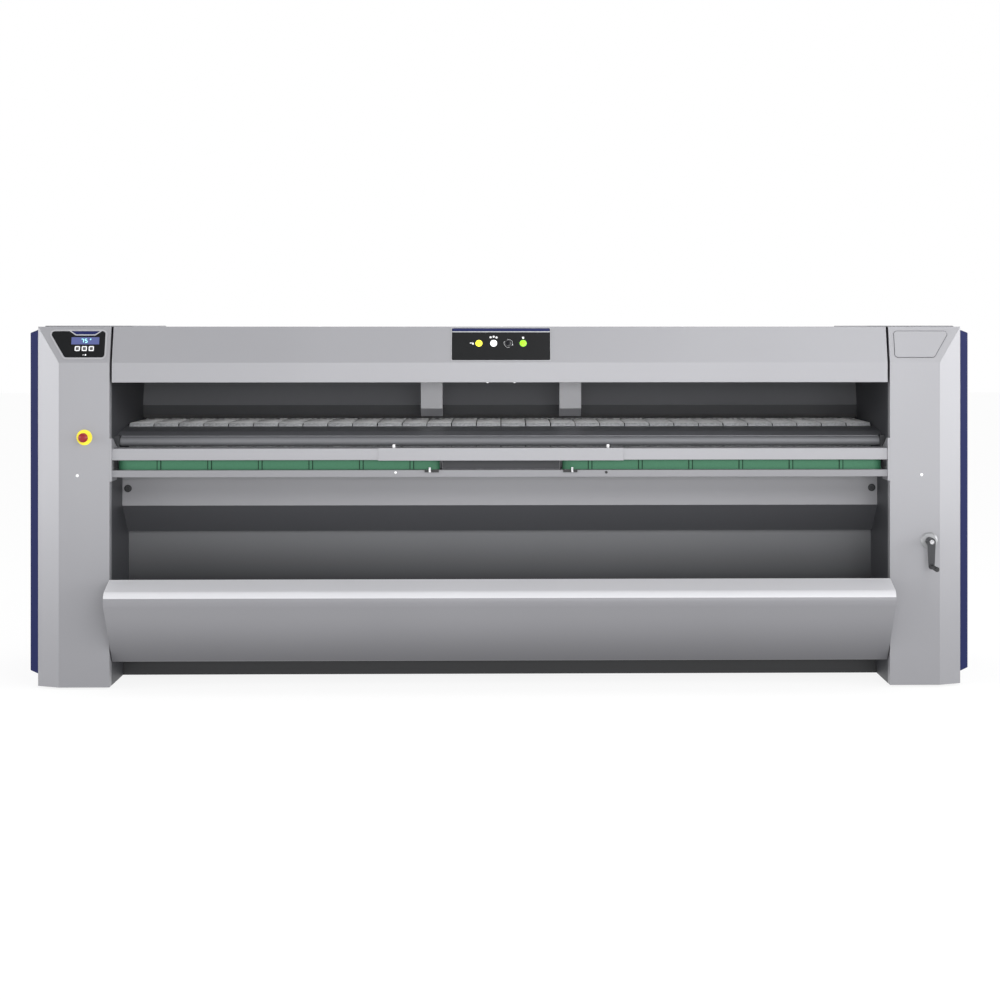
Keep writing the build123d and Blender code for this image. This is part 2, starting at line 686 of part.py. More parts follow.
def side_frame_left():
    return mirror(side_frame([(FAN_D, FAN_Z, FAN_INLET_R)]), about=Plane.YZ)


def base_frame():
    """Base plates under the columns, joined by two box-section ties behind the plinth."""
    sole = block(FRAME_X, COLUMN_EDGE_X - SHEET, CHEEK_D, REAR_D, FOOT_H, FOOT_H + BASE_T)
    for d in (FOOT_FRONT_D, FOOT_REAR_D):
        sole -= rod_z(FOOT_X, d, 0, FOOT_H + BASE_T + PAST, SPINDLE_R + BORE_GAP)
    ties = [tie(PLINTH_D + TIE_FRONT_GAP), tie(REAR_D - TIE_W - TIE_REAR_GAP)]
    return Compound([*both_sides(sole).solids(), *[solid for piece in ties for solid in piece.solids()]])


def tie(d):
    """A square tube between the side frames, with its front face at a depth."""
    end = COLUMN_INNER_X
    tube = block(-end, end, d, d + TIE_W, TIE_LOW_Z, TIE_LOW_Z + TIE_W)
    core = (d + TIE_WALL, d + TIE_W - TIE_WALL, TIE_LOW_Z + TIE_WALL, TIE_LOW_Z + TIE_W - TIE_WALL)
    return tube - block(-end - PAST, end + PAST, *core)


def levelling_feet():
    """Four feet: a conical pad, a spindle through the base plate and a lock nut on it."""
    feet = []
    for d in (FOOT_FRONT_D, FOOT_REAR_D):
        pad = rod_z(FOOT_X, d, 0, FOOT_H, FOOT_R)
        pad = chamfer(pad.edges().group_by(Axis.Z)[-1], length=FOOT_H / 2)
        spindle = rod_z(FOOT_X, d, 0, FOOT_H + BASE_T + SPINDLE_RISE, SPINDLE_R)
        hexagon = Pos(FOOT_X, y_at(d), FOOT_H + BASE_T) * RegularPolygon(NUT_R, 6)
        feet.append(pad + spindle + extrude(hexagon, amount=NUT_T))
    return both_sides(Compound([solid for foot in feet for solid in foot.solids()]))


# ---------------------------------------------------------------- feeding side
def feed_table():
    """The dark feeding plate, from over the guide roller up to the belts' front roller."""
    path = [(TABLE_FRONT_D, TABLE_FRONT_Z - TABLE_LIP), (TABLE_FRONT_D, TABLE_FRONT_Z)]
    path += [(TABLE_KNEE_D, TABLE_KNEE_Z), (TABLE_EDGE_D, TABLE_EDGE_Z)]
    return bent_sheet(path, -SHEET, -COLUMN_INNER_X, COLUMN_INNER_X)


def guide_roller():
    """The steel bar that the linen is smoothed over, turning on two pins."""
    bar = rod_x(-GUIDE_HALF, GUIDE_HALF, GUIDE_D, GUIDE_Z, GUIDE_R)
    bar = chamfer(bar.edges().filter_by(GeomType.CIRCLE), length=GUIDE_BEVEL)
    pin_end = GUIDE_HALF + GUIDE_PIN_L
    return bar + rod_x(-pin_end, pin_end, GUIDE_D, GUIDE_Z, GUIDE_PIN_R)


def beam_channel(low_z, top_z):
    """A channel across the machine, open at the back, between two heights."""
    path = [(BEAM_REAR_D, low_z), (BEAM_D, low_z), (BEAM_D, top_z), (BEAM_REAR_D, top_z)]
    return bent_sheet(path, -SHEET, -BEAM_HALF, BEAM_HALF)


def beam_cover():
    """The spreader beam's upper channel."""
    return beam_channel(COVER_LOW_Z, COVER_TOP_Z)


def beam_centre_cover():
    """The joint cover over the beam's middle: it stands taller than the beam and hooks behind its top."""
    top = COVER_TOP_Z + CENTRE_RISE
    rear = BEAM_D + CENTRE_LIP
    path = [(BEAM_D, COVER_LOW_Z - CENTRE_DROP), (BEAM_D, top), (rear, top)]
    hook = block(-CENTRE_HALF, CENTRE_HALF, rear - CENTRE_T, rear, COVER_TOP_Z, top)
    return bent_sheet(path, CENTRE_T, -CENTRE_HALF, CENTRE_HALF) + hook


def spreader_rail():
    """The beam's lower channel, with the pivot pins of the four belt pulleys standing on it."""
    rail = beam_channel(RAIL_LOW_Z, RAIL_TOP_Z)
    for x in (-SPREAD_OUTER_X, -SPREAD_INNER_X, SPREAD_INNER_X, SPREAD_OUTER_X):
        rail += rod_z(x, SPREAD_D, RAIL_TOP_Z - SHEET, COVER_LOW_Z, SPREAD_PIN_R)
    return rail


def beam_brackets():
    """The end plates that hang the beam on the side frames, and the dark plate behind its middle."""
    rear = GUIDE_D - GUIDE_BLOCK_HALF - BRACKET_GAP
    end = [(0, BRACKET_LOW_Z), (0, BRACKET_TOP_Z), (BRACKET_FLAT_D, BRACKET_TOP_Z)]
    end += [(rear, COVER_TOP_Z), (rear, BRACKET_LOW_Z)]
    ends = both_sides(plate(end, BEAM_HALF, COLUMN_INNER_X))
    half = SPREAD_INNER_X - SPREAD_BELT_R - BACK_PLATE_GAP
    back = block(-half, half, SPREAD_D - BACK_PLATE_T, SPREAD_D, RAIL_TOP_Z, COVER_LOW_Z)
    return Compound([*ends.solids(), *back.solids()])


def spreader_pulley(x):
    """A spreader belt's pulley on its upright pin: a plain drum with a dish round its hub."""
    low = RAIL_TOP_Z + RUN_GAP
    high = COVER_LOW_Z - RUN_GAP
    wheel = rod_z(x, SPREAD_D, low, high, SPREAD_WHEEL_R)
    dish = rod_z(x, SPREAD_D, high - SPREAD_DISH, high, SPREAD_WHEEL_R - SPREAD_RIM)
    dish -= rod_z(x, SPREAD_D, high - SPREAD_DISH, high, SPREAD_PIN_R + SPREAD_RIM)
    return wheel - dish - rod_z(x, SPREAD_D, low - PAST, high + PAST, SPREAD_PIN_R + BORE_GAP)


def spreader_belt(side):
    """A cleated belt round one pair of upright pulleys."""
    wheels = [(x, y_at(SPREAD_D), SPREAD_WHEEL_R, 1) for x in (SPREAD_INNER_X, SPREAD_OUTER_X)]
    low = RAIL_TOP_Z + RUN_GAP + SPREAD_BELT_INSET
    height = COVER_LOW_Z - RAIL_TOP_Z - 2 * RUN_GAP - 2 * SPREAD_BELT_INSET
    belt = extrude(Plane.XY.offset(low) * belt_section(wheels, RUN_GAP, SPREAD_BELT_T), amount=height)
    count = int((SPREAD_OUTER_X - CLEAT_FIRST_X) / CLEAT_PITCH) + 1
    for index in range(count):
        x = CLEAT_FIRST_X + index * CLEAT_PITCH
        for face in (-1, 1):
            d = SPREAD_D + face * (SPREAD_BELT_R + CLEAT_H / 2)
            cleat = Pos(x, y_at(d), low + height / 2) * Box(CLEAT_W, CLEAT_H, height)
            belt += cleat
    return belt if side > 0 else mirror(belt, about=Plane.YZ)


# ---------------------------------------------------------------- belts, rollers and cylinder
def ironing_belts():
    """Felt bands: over the front roller, back along the bed, round the nip roller and over the cylinder."""
    wheels = [(y_at(d), z, r, 1) for d, z, r in ROLLERS.values()]
    wheels = [wheels[0], wheels[2], (y_at(DRUM_D), DRUM_Z, DRUM_R, -1), wheels[1]]
    section = belt_section(wheels, RUN_GAP, BELT_T)
    first = -BAND_PITCH * BAND_COUNT / 2 + LANE_GAP / 2
    bands = []
    for index in range(BAND_COUNT):
        bands += extrude(Plane.YZ.offset(first + index * BAND_PITCH) * section, amount=BAND_W).solids()
    return Compound(bands)


def belt_bed():
    """The smooth plate that carries the belts' top run, with a stiffening flange at each edge."""
    top = FEED_Z - BELT_T - RUN_GAP
    front = FRONT_ROLLER_D + FRONT_ROLLER_R + BED_CLEAR
    rear = NIP_ROLLER_D - NIP_ROLLER_R - BED_CLEAR
    path = [(front, top - BED_LIP), (front, top), (rear, top), (rear, top - BED_LIP)]
    return bent_sheet(path, -BED_T, -COLUMN_INNER_X, COLUMN_INNER_X)


def roller(name):
    """A belt roller: a tube closed by end discs, turning on two pins."""
    d, z, radius = ROLLERS[name]
    body = rod_x(-ROLLER_HALF, ROLLER_HALF, d, z, radius)
    pin_end = FRAME_X + BEARING_T
    return body + rod_x(-pin_end, pin_end, d, z, ROLLER_PIN_R)


def drum():
    """The heated cylinder: a polished shell, two end discs with lightening holes and hollow journals."""
    shell = rod_x(-DRUM_HALF, DRUM_HALF, DRUM_D, DRUM_Z, DRUM_R)
    shell -= rod_x(-DRUM_HALF - PAST, DRUM_HALF + PAST, DRUM_D, DRUM_Z, DRUM_R - DRUM_WALL)
    inner = DRUM_HALF - DRUM_END_T
    end = rod_x(inner, DRUM_HALF, DRUM_D, DRUM_Z, DRUM_R - DRUM_WALL)
    for index in range(DRUM_HOLES):
        turn = 2 * pi * (index + 0.5) / DRUM_HOLES
        middle = (DRUM_D + DRUM_HOLE_CIRCLE_R * cos(turn), DRUM_Z + DRUM_HOLE_CIRCLE_R * sin(turn))
        end -= rod_x(inner - PAST, DRUM_HALF + PAST, *middle, DRUM_HOLE_R)
    outer = PULLEY_X + PULLEY_W + JOURNAL_END
    end += rod_x(inner, outer, DRUM_D, DRUM_Z, JOURNAL_R)
    end -= rod_x(inner - PAST, outer + PAST, DRUM_D, DRUM_Z, JOURNAL_BORE_R)
    return shell + end + mirror(end, about=Plane.YZ)


def drum_pulley():
    """The driven pulley on the cylinder's right journal: a rim and a hub joined by a thinner web."""
    outer = PULLEY_X + PULLEY_W
    wheel = rod_x(PULLEY_X, outer, DRUM_D, DRUM_Z, DRUM_PULLEY_R)
    for face in (PULLEY_X, outer - PULLEY_DISH):
        dish = rod_x(face, face + PULLEY_DISH, DRUM_D, DRUM_Z, DRUM_PULLEY_R - PULLEY_RIM)
        wheel -= dish - rod_x(face, face + PULLEY_DISH, DRUM_D, DRUM_Z, JOURNAL_R + PULLEY_HUB)
    return wheel - rod_x(PULLEY_X - PAST, outer + PAST, DRUM_D, DRUM_Z, JOURNAL_R)


def square_block(x0, x1, d, z, half):
    """A square block along X round an axis."""
    return block(x0, x1, d - half, d + half, z - half, z + half)


def bearing_blocks():
    """A bearing block outside each side frame for every roller, and the guide roller's inside."""
    blocks = []
    outer = FRAME_X + BEARING_T
    for d, z, _ in ROLLERS.values():
        body = square_block(FRAME_X, outer, d, z, BEARING_HALF)
        blocks.append(body - rod_x(FRAME_X - PAST, outer + PAST, d, z, ROLLER_PIN_R + BORE_GAP))
    outer = FRAME_X + DRUM_BEARING_T
    body = square_block(FRAME_X, outer, DRUM_D, DRUM_Z, DRUM_BEARING_HALF)
    body = chamfer(body.edges().filter_by(Axis.X), length=DRUM_BEARING_CORNER)
    blocks.append(body - rod_x(FRAME_X - PAST, outer + PAST, DRUM_D, DRUM_Z, JOURNAL_R + BORE_GAP))
    inner = GUIDE_HALF + RUN_GAP
    bore_end = GUIDE_HALF + GUIDE_PIN_L + GUIDE_PIN_SPARE
    body = square_block(inner, COLUMN_INNER_X, GUIDE_D, GUIDE_Z, GUIDE_BLOCK_HALF)
    blocks.append(body - rod_x(inner - PAST, bore_end, GUIDE_D, GUIDE_Z, GUIDE_PIN_R + BORE_GAP))
    return both_sides(Compound([s for piece in blocks for s in piece.solids()]))


def heating_elements():
    """Heating rods on three spiders, on a fixed tube through the cylinder's hollow journals."""
    end = STANDOFF_X + HANGER_T + ELEMENT_TUBE_END
    core = rod_x(-end, end, DRUM_D, DRUM_Z, ELEMENT_TUBE_R)
    axis = Axis((0, y_at(DRUM_D), DRUM_Z), (1, 0, 0))
    outer = ELEMENT_HALF - SPIDER_INSET
    for x in (-outer, 0, outer):
        for index in range(ELEMENT_COUNT // 2):
            arm = Pos(x, y_at(DRUM_D), DRUM_Z) * Box(SPIDER_T, 2 * SPIDER_R, SPIDER_W)
            core += arm.rotate(axis, 360 / ELEMENT_COUNT * index)
    for index in range(ELEMENT_COUNT):
        turn = 2 * pi * index / ELEMENT_COUNT
        middle = (DRUM_D + ELEMENT_CIRCLE_R * cos(turn), DRUM_Z + ELEMENT_CIRCLE_R * sin(turn))
        core += rod_x(-ELEMENT_HALF, ELEMENT_HALF, *middle, ELEMENT_R)
    return Compound([*core.solids(), *element_hangers().solids()])


def element_hangers():
    """The hanger at each end that holds the fixed tube, on two rods from the side frame."""
    back, waist, eye, reach = HANGER_BACK, HANGER_WAIST, HANGER_EYE, STANDOFF_R + HANGER_EYE
    outline = [(-back, -back), (-back, waist), (-eye, reach), (eye, reach)]
    outline += [(reach, eye), (reach, -eye), (waist, -back)]
    hanger = plate([(DRUM_D + u, DRUM_Z + v) for u, v in outline], STANDOFF_X, STANDOFF_X + HANGER_T)
    hanger -= rod_x(STANDOFF_X - PAST, STANDOFF_X + HANGER_T + PAST, DRUM_D, DRUM_Z, ELEMENT_TUBE_R)
    for u, v in ((0, STANDOFF_R), (STANDOFF_R, 0)):
        hanger += rod_x(FRAME_X, STANDOFF_X, DRUM_D + u, DRUM_Z + v, STANDOFF_ROD_R)
    return both_sides(hanger)


# ---------------------------------------------------------------- drive
def motor_pulley():
    """The driving pulley with its output shaft."""
    wheel = rod_x(PULLEY_X, PULLEY_X + PULLEY_W, OUTPUT_D, OUTPUT_Z, MOTOR_PULLEY_R)
    wheel = chamfer(wheel.edges().filter_by(GeomType.CIRCLE), length=MOTOR_PULLEY_BEVEL)
    return wheel + rod_x(PULLEY_X, CRANK_X - OUTPUT_END, OUTPUT_D, OUTPUT_Z, OUTPUT_R)


def drive_belt():
    """The toothed belt between the motor pulley and the cylinder's pulley."""
    wheels = [(y_at(OUTPUT_D), OUTPUT_Z, MOTOR_PULLEY_R, 1), (y_at(DRUM_D), DRUM_Z, DRUM_PULLEY_R, 1)]
    section = belt_section(wheels, RUN_GAP, DRIVE_BELT_T)
    start = PULLEY_X + (PULLEY_W - DRIVE_BELT_W) / 2
    return extrude(Plane.YZ.offset(start) * section, amount=DRIVE_BELT_W)


def gearmotor():
    """Worm gearbox with its motor, on a shelf that a gusset stiffens against the side frame."""
    low, high = CRANK_X - GEAR_HALF_W, CRANK_X + GEAR_HALF_W
    box = block(low, high, GEAR_D, GEAR_REAR_D, GEAR_LOW_Z, CRANK_Z + GEAR_PAD)
    box = fillet(box.edges().filter_by(Axis.X), radius=GEAR_CORNER)
    box -= rod_x(low - PAST, CRANK_X - OUTPUT_END + BORE_END, OUTPUT_D, OUTPUT_Z, OUTPUT_R + BORE_GAP)
    box -= rod_y(CRANK_X, CRANK_Z, GEAR_D - PAST, GEAR_D + WORM_BORE_L, CRANK_SHAFT_R + BORE_GAP)
    shelf = block(FRAME_X, high, GEAR_D, GEAR_REAR_D, GEAR_LOW_Z - SHELF_T, GEAR_LOW_Z)
    top = SHELF_T - GEAR_LOW_Z
    corner = Polyline((FRAME_X, top), (low, top), (FRAME_X, top + GUSSET_H), close=True)
    rib = Plane(origin=(0, y_at(OUTPUT_D - SHELF_T / 2), 0), x_dir=(1, 0, 0), z_dir=(0, 1, 0))
    return box + motor() + shelf + extrude(rib * make_face(corner), amount=SHELF_T)


def motor():
    """The motor behind the gearbox: mounting flange, cooling fins, fan cowl and terminal box."""
    core_r = MOTOR_R - MOTOR_STEP
    end = GEAR_REAR_D + MOTOR_LENGTH
    flange_end = GEAR_REAR_D + MOTOR_FLANGE_T
    body = rod_y(CRANK_X, CRANK_Z, GEAR_REAR_D, flange_end, MOTOR_R + MOTOR_STEP)
    body += rod_y(CRANK_X, CRANK_Z, flange_end, end, core_r)
    for index in range(FIN_COUNT):
        d = GEAR_REAR_D + FIN_START + index * FIN_PITCH
        body += rod_y(CRANK_X, CRANK_Z, d, d + FIN_T, MOTOR_R)
    body += rod_y(CRANK_X, CRANK_Z, end - COWL_L, end, MOTOR_R + COWL_EDGE)
    start, top = GEAR_REAR_D + TERMINAL_START, CRANK_Z + MOTOR_R
    left, right = CRANK_X - TERMINAL_HALF, CRANK_X + TERMINAL_HALF
    return body + block(left, right, start, start + TERMINAL_L, top - TERMINAL_SINK, top + TERMINAL_RISE)


# ---------------------------------------------------------------- delivery side
def apron():
    """The sheet below the beam: upright, then slanting back to the delivery slot."""
    path = [(APRON_D + APRON_LIP, APRON_TOP_Z), (APRON_D, APRON_TOP_Z), (APRON_D, APRON_KNEE_Z)]
    path += [(APRON_END_D, APRON_END_Z)]
    return bent_sheet(path, SHEET, -COLUMN_INNER_X, COLUMN_INNER_X)


def chute_plate():
    """The plate that the linen slides down, from behind the delivery slot to the trough's floor."""
    path = [(CHUTE_D + CHUTE_LIP, CHUTE_TOP_Z), (CHUTE_D, CHUTE_TOP_Z), (CHUTE_D, FLOOR_Z + TROUGH_SHEET)]
    return bent_sheet(path, SHEET, -COLUMN_INNER_X, COLUMN_INNER_X)


def trough():
    """The collecting trough: one folded sheet with a round nose and a rolled lip."""
    sheet = bent_sheet(TROUGH_PATH, -TROUGH_SHEET, -TROUGH_HALF, TROUGH_HALF, TROUGH_BENDS)
    return sheet + rod_x(-TROUGH_HALF, TROUGH_HALF, LIP_D + LIP_LAP, LIP_Z - LIP_R + LIP_LAP, LIP_R)


def trough_ends():
    """End plates inside the trough, each with a pad against its side frame."""
    inside = offset_path(TROUGH_PATH, -TROUGH_SHEET)
    (nose_d, nose_z), (lip_d, lip_z) = inside[-2:]
    share = 1 - END_RIM / hypot(lip_d - nose_d, lip_z - nose_z)
    rim_start = (nose_d + share * (lip_d - nose_d), nose_z + share * (lip_z - nose_z))
    inside = [(CHUTE_D, inside[0][1]), *inside[1:-1], rim_start]
    curve = FilletPolyline(*[(y_at(d), z) for d, z in inside], radius=TROUGH_BENDS)
    rear_top = (y_at(CHUTE_D), FLOOR_Z + END_REAR_H)
    front_top = (y_at(PLINTH_D / 2), LIP_Z - END_RIM)
    rim = Polyline(curve @ 1, front_top, rear_top, curve @ 0)
    start = TROUGH_HALF - TROUGH_SHEET
    end = extrude(Plane.YZ.offset(start) * make_face([*curve.edges(), *rim.edges()]), amount=TROUGH_SHEET)
    pad_z = (FLOOR_Z + END_PAD_LOW, FLOOR_Z + END_REAR_H)
    pad = block(TROUGH_HALF, COLUMN_INNER_X, CHEEK_D + END_PAD_GAP, PLINTH_D, *pad_z)
    return both_sides(end + pad)


def plinth():
    """The kick plate under the trough."""
    rear = PLINTH_D + PLINTH_LIP
    path = [(rear, SKIRT_Z), (PLINTH_D, SKIRT_Z), (PLINTH_D, FLOOR_Z), (rear, FLOOR_Z)]
    return bent_sheet(path, -SHEET, -COLUMN_INNER_X, COLUMN_INNER_X)


# ---------------------------------------------------------------- above the belts
def belt_guard():
    """The sheet across the back of the feeding opening: upright over the belts, then leaning back."""
    top = TOP_Z - SHEET
    reach = (top - GUARD_KNEE_Z) * tan(radians(GUARD_LEAN))
    path = [(GUARD_D, GUARD_LOW_Z), (GUARD_D, GUARD_KNEE_Z), (GUARD_D + reach, top)]
    sheet = bent_sheet(path, -SHEET, -COLUMN_INNER_X, COLUMN_INNER_X)
    return sheet & block(-HALF_WIDTH, HALF_WIDTH, 0, BODY_DEPTH, 0, top)


def hood_brackets():
    """Two folded brackets that hang under the hood, each a face with two cheeks and a swept-back tip."""
    top = TOP_Z - SHEET
    tip = FINGER_D + FINGER_REACH
    rear = FINGER_D + FINGER_CHEEK
    path = [(FINGER_D, top), (FINGER_D, FINGER_KNEE_Z), (tip, FINGER_LOW_Z)]
    outline = [*path, (tip, FINGER_LOW_Z + FINGER_CHEEK)]
    outline += [(rear, FINGER_KNEE_Z + FINGER_CHEEK_RISE), (rear, top)]
    low, high = FINGER_X - FINGER_W / 2, FINGER_X + FINGER_W / 2
    bracket = bent_sheet(path, SHEET, low, high)
    bracket += plate(outline, low, low + SHEET) + plate(outline, high - SHEET, high)
    return both_sides(bracket)


# ---------------------------------------------------------------- controls
def indicator_panel():
    """The indicator plate on the hood's slope, with a round seat for each lamp."""
    plane = slope_plane(0, (INDICATOR_LOW + INDICATOR_HIGH) / 2)
    shape = RectangleRounded(2 * INDICATOR_HALF, INDICATOR_HIGH - INDICATOR_LOW, INDICATOR_CORNER)
    panel = extrude(plane * shape, amount=PLATE_T)
    for x in lamp_places():
        panel -= extrude(slope_plane(x, LAMP_ALONG) * Circle(LAMP_R), amount=PLATE_T)
    return panel


def lamp_places():
    """X of each indicator lamp."""
    return [LAMP_PITCH * (index - (LAMP_COUNT - 1) / 2) for index in range(LAMP_COUNT)]


def indicator_lamps():
    """Four lamp lenses standing in the panel, each with a rounded rim."""
    lenses = []
    for x in lamp_places():
        lens = extrude(slope_plane(x, LAMP_ALONG) * Circle(LAMP_R), amount=PLATE_T + LAMP_RISE)
        top = lens.edges().filter_by(GeomType.CIRCLE).sort_by(Axis.Y)[0]
        lenses += chamfer(top, length=LAMP_RISE / 2).solids()
    return Compound(lenses)


def head_plate(side):
    """The tapered plate on a column's slanted head."""
    corners = [(DISPLAY_X, DISPLAY_LOW), (DISPLAY_X, DISPLAY_HIGH)]
    corners += [(DISPLAY_X + DISPLAY_W_TOP, DISPLAY_HIGH), (DISPLAY_X + DISPLAY_W_LOW, DISPLAY_LOW)]
    corners = [(side * x, along) for x, along in corners]
    outline = FilletPolyline(*corners, radius=DISPLAY_CORNER, close=True)
    return extrude(slope_plane(0, 0) * make_face(outline), amount=PLATE_T)


def display_panel():
    """The control panel's plate, with a window opening and three key openings."""
    panel = head_plate(-1)
    window = slope_plane(-WINDOW_X, WINDOW_ALONG) * Rectangle(WINDOW_W, WINDOW_H)
    panel -= extrude(window, amount=PLATE_T)
    opening = Rectangle(KEY_SIZE + 2 * RUN_GAP, KEY_SIZE + 2 * RUN_GAP)
    for index in range(KEY_COUNT):
        panel -= extrude(slope_plane(key_x(index), KEY_ALONG) * opening, amount=PLATE_T)
    return panel


def display_window():
    """The display's clear window, a little sunk in the panel."""
    window = slope_plane(-WINDOW_X, WINDOW_ALONG) * Rectangle(WINDOW_W, WINDOW_H)
    return extrude(window, amount=PLATE_T - WINDOW_SINK)


def blank_panel():
    """The plain tapered plate on the right column's head."""
    return head_plate(1)


def key_x(index):
    """X of a panel key, counted from the left."""
    return -KEY_X + KEY_PITCH * (index - (KEY_COUNT - 1) / 2)


def panel_key(index):
    """A square key standing a little proud of the panel, free to travel into it."""
    plane = slope_plane(key_x(index), KEY_ALONG).offset(RUN_GAP + KEY_TRAVEL)
    height = PLATE_T + KEY_RISE - RUN_GAP - KEY_TRAVEL
    return extrude(plane * RectangleRounded(KEY_SIZE, KEY_SIZE, KEY_CORNER), amount=height)


def revolve_y(x, z, profile):
    """A turned piece about an axis along Y. The profile is (depth, radius) points."""
    plane = Plane(origin=(x, 0, z), x_dir=(0, 1, 0), z_dir=(1, 0, 0))
    outline = make_face(Polyline(*[(y_at(d), r) for d, r in profile], close=True))
    return revolve(plane * outline, axis=Axis((x, 0, z), (0, 1, 0)))


def estop_base():
    """The emergency stop's round base and its guide collar."""
    bore = STOP_STEM_R + BORE_GAP
    rim, collar = STOP_BASE_R - STOP_BASE_EDGE, bore + STOP_COLLAR_T
    profile = [(0, bore), (0, STOP_BASE_R), (STOP_BASE_EDGE - PLATE_T, STOP_BASE_R), (-PLATE_T, rim)]
    profile += [(-PLATE_T, collar), (-STOP_COLLAR_L, collar - STOP_BASE_EDGE), (-STOP_COLLAR_L, bore)]
    return revolve_y(-STOP_X, STOP_Z, profile)


def estop_button():
    """The mushroom button: a domed head on its stem, which passes into the column."""
    back = -STOP_COLLAR_L - STOP_TRAVEL - STOP_SPARE
    shoulder = back - STOP_HEAD_T
    profile = [(STOP_STEM_L, 0), (STOP_STEM_L, STOP_STEM_R), (back, STOP_STEM_R)]
    profile += [(back, STOP_HEAD_R - STOP_HEAD_BACK), (back - STOP_HEAD_BACK, STOP_HEAD_R)]
    profile += [(shoulder + STOP_HEAD_DOME, STOP_HEAD_R), (shoulder, STOP_HEAD_R - STOP_HEAD_DOME)]
    profile += [(-STOP_REACH, STOP_FACE_R), (-STOP_REACH, 0)]
    return revolve_y(-STOP_X, STOP_Z, profile)


def crank_bezel():
    """The round bearing plate of the hand crank on the right column."""
    bore = CRANK_SHAFT_R + BORE_GAP
    profile = [(0, bore), (0, BEZEL_R), (-BEZEL_RIM, BEZEL_R)]
    profile += [(-BEZEL_T, BEZEL_R - BEZEL_BEVEL), (-BEZEL_T, bore)]
    return revolve_y(CRANK_X, CRANK_Z, profile)


def hand_crank():
    """The hand crank: shaft into the gearbox, hub, tapered arm and the grip's pin."""
    inner = GEAR_D + WORM_BORE_L - CRANK_SHAFT_SHORT
    shaft = rod_y(CRANK_X, CRANK_Z, -BEZEL_T - PAST, inner, CRANK_SHAFT_R)
    hub = rod_y(CRANK_X, CRANK_Z, -CRANK_FACE, -BEZEL_T - RUN_GAP, CRANK_HUB_R)
    tip_z = CRANK_Z - CRANK_ARM_L
    face = Plane(origin=(0, y_at(CRANK_ARM_T - CRANK_FACE), 0), x_dir=(1, 0, 0), z_dir=(0, -1, 0))
    outline = belt_loop([(CRANK_X, CRANK_Z, CRANK_HUB_R, 1), (CRANK_X, tip_z, CRANK_TIP_R, 1)], 0.0)
    pin = rod_y(CRANK_X, tip_z, GRIP_END_T - GRIP_REACH, -CRANK_FACE, GRIP_PIN_R)
    return shaft + hub + extrude(face * outline, amount=CRANK_ARM_T) + pin


def crank_grip():
    """The turning grip: a barrel with a waist, running on the crank's pin."""
    start = -CRANK_FACE - RUN_GAP
    bore = GRIP_PIN_R + BORE_GAP
    bottom = GRIP_END_T - GRIP_REACH - RUN_GAP
    profile = [(start, bore), (start, GRIP_R - GRIP_NECK), (start - GRIP_CUFF, GRIP_R)]
    profile += [(start - GRIP_WAIST, GRIP_R - GRIP_NECK), (GRIP_BELLY - GRIP_REACH, GRIP_R)]
    profile += [(GRIP_TIP - GRIP_REACH, GRIP_R), (-GRIP_REACH, GRIP_R - GRIP_ROUND), (-GRIP_REACH, 0)]
    return revolve_y(CRANK_X, CRANK_Z - CRANK_ARM_L, [*profile, (bottom, 0), (bottom, bore)])


# ---------------------------------------------------------------- hidden services
def fan_shell(inset):
    """The extraction fan's casing volume: a round scroll that runs out into a duct to the rear."""
    low, high = FRAME_X + inset, FRAME_X + FAN_W - inset
    scroll = rod_x(low, high, FAN_D, FAN_Z, FAN_R - inset)
    return scroll + block(low, high, FAN_D, DUCT_END_D - inset, FAN_Z + inset, FAN_Z + FAN_R - inset)


def fan_housing():
    """The extraction fan's scroll casing with its inlet, rear spigot and motor."""
    casing = fan_shell(0) - fan_shell(FAN_WALL)
    casing -= rod_x(FRAME_X - PAST, FRAME_X + FAN_WALL + PAST, FAN_D, FAN_Z, FAN_INLET_R)
    duct_end = DUCT_END_D - FAN_WALL
    flange = BODY_DEPTH + RUN_GAP
    end = BODY_DEPTH + SPIGOT_REACH
    casing += rod_y(FAN_X, SPIGOT_Z, duct_end, flange, SPIGOT_NECK_R)
    casing += rod_y(FAN_X, SPIGOT_Z, flange, flange + SPIGOT_FLANGE_T, SPIGOT_FLANGE_R)
    casing += rod_y(FAN_X, SPIGOT_Z, flange, end, SPIGOT_R)
    casing -= rod_y(FAN_X, SPIGOT_Z, duct_end - PAST, end + PAST, SPIGOT_NECK_R - FAN_WALL)
    outer = FRAME_X + FAN_W
    casing += rod_x(outer, outer + FAN_MOTOR_L, FAN_D, FAN_Z, FAN_MOTOR_R)
    casing -= rod_x(outer - FAN_WALL - PAST, outer + FAN_SHAFT_BORE_L, FAN_D, FAN_Z, SPINDLE_R + BORE_GAP)
    return mirror(casing, about=Plane.YZ)


def fan_impeller():
    """The fan's wheel: a back disc with curved blades, on a shaft into the motor."""
    outer = FRAME_X + FAN_W
    back = outer - FAN_WALL - IMPELLER_CLEAR
    wheel = rod_x(back - IMPELLER_DISC_T, back, FAN_D, FAN_Z, IMPELLER_R)
    blade = trace(CenterArc((IMPELLER_R - BLADE_INSET, 0), BLADE_ARC_R, BLADE_START, BLADE_SWEEP), BLADE_T)
    hub = Plane.YZ.offset(back - IMPELLER_W) * Pos(y_at(FAN_D), FAN_Z)
    for index in range(BLADE_COUNT):
        place = hub * Rot(0, 0, 360 / BLADE_COUNT * index)
        wheel += extrude(place * blade, amount=IMPELLER_W - BLADE_SINK)
    shaft_end = outer + FAN_SHAFT_BORE_L - FAN_SHAFT_END
    wheel += rod_x(back - IMPELLER_HUB_L, shaft_end, FAN_D, FAN_Z, SPINDLE_R)
    return mirror(wheel, about=Plane.YZ)


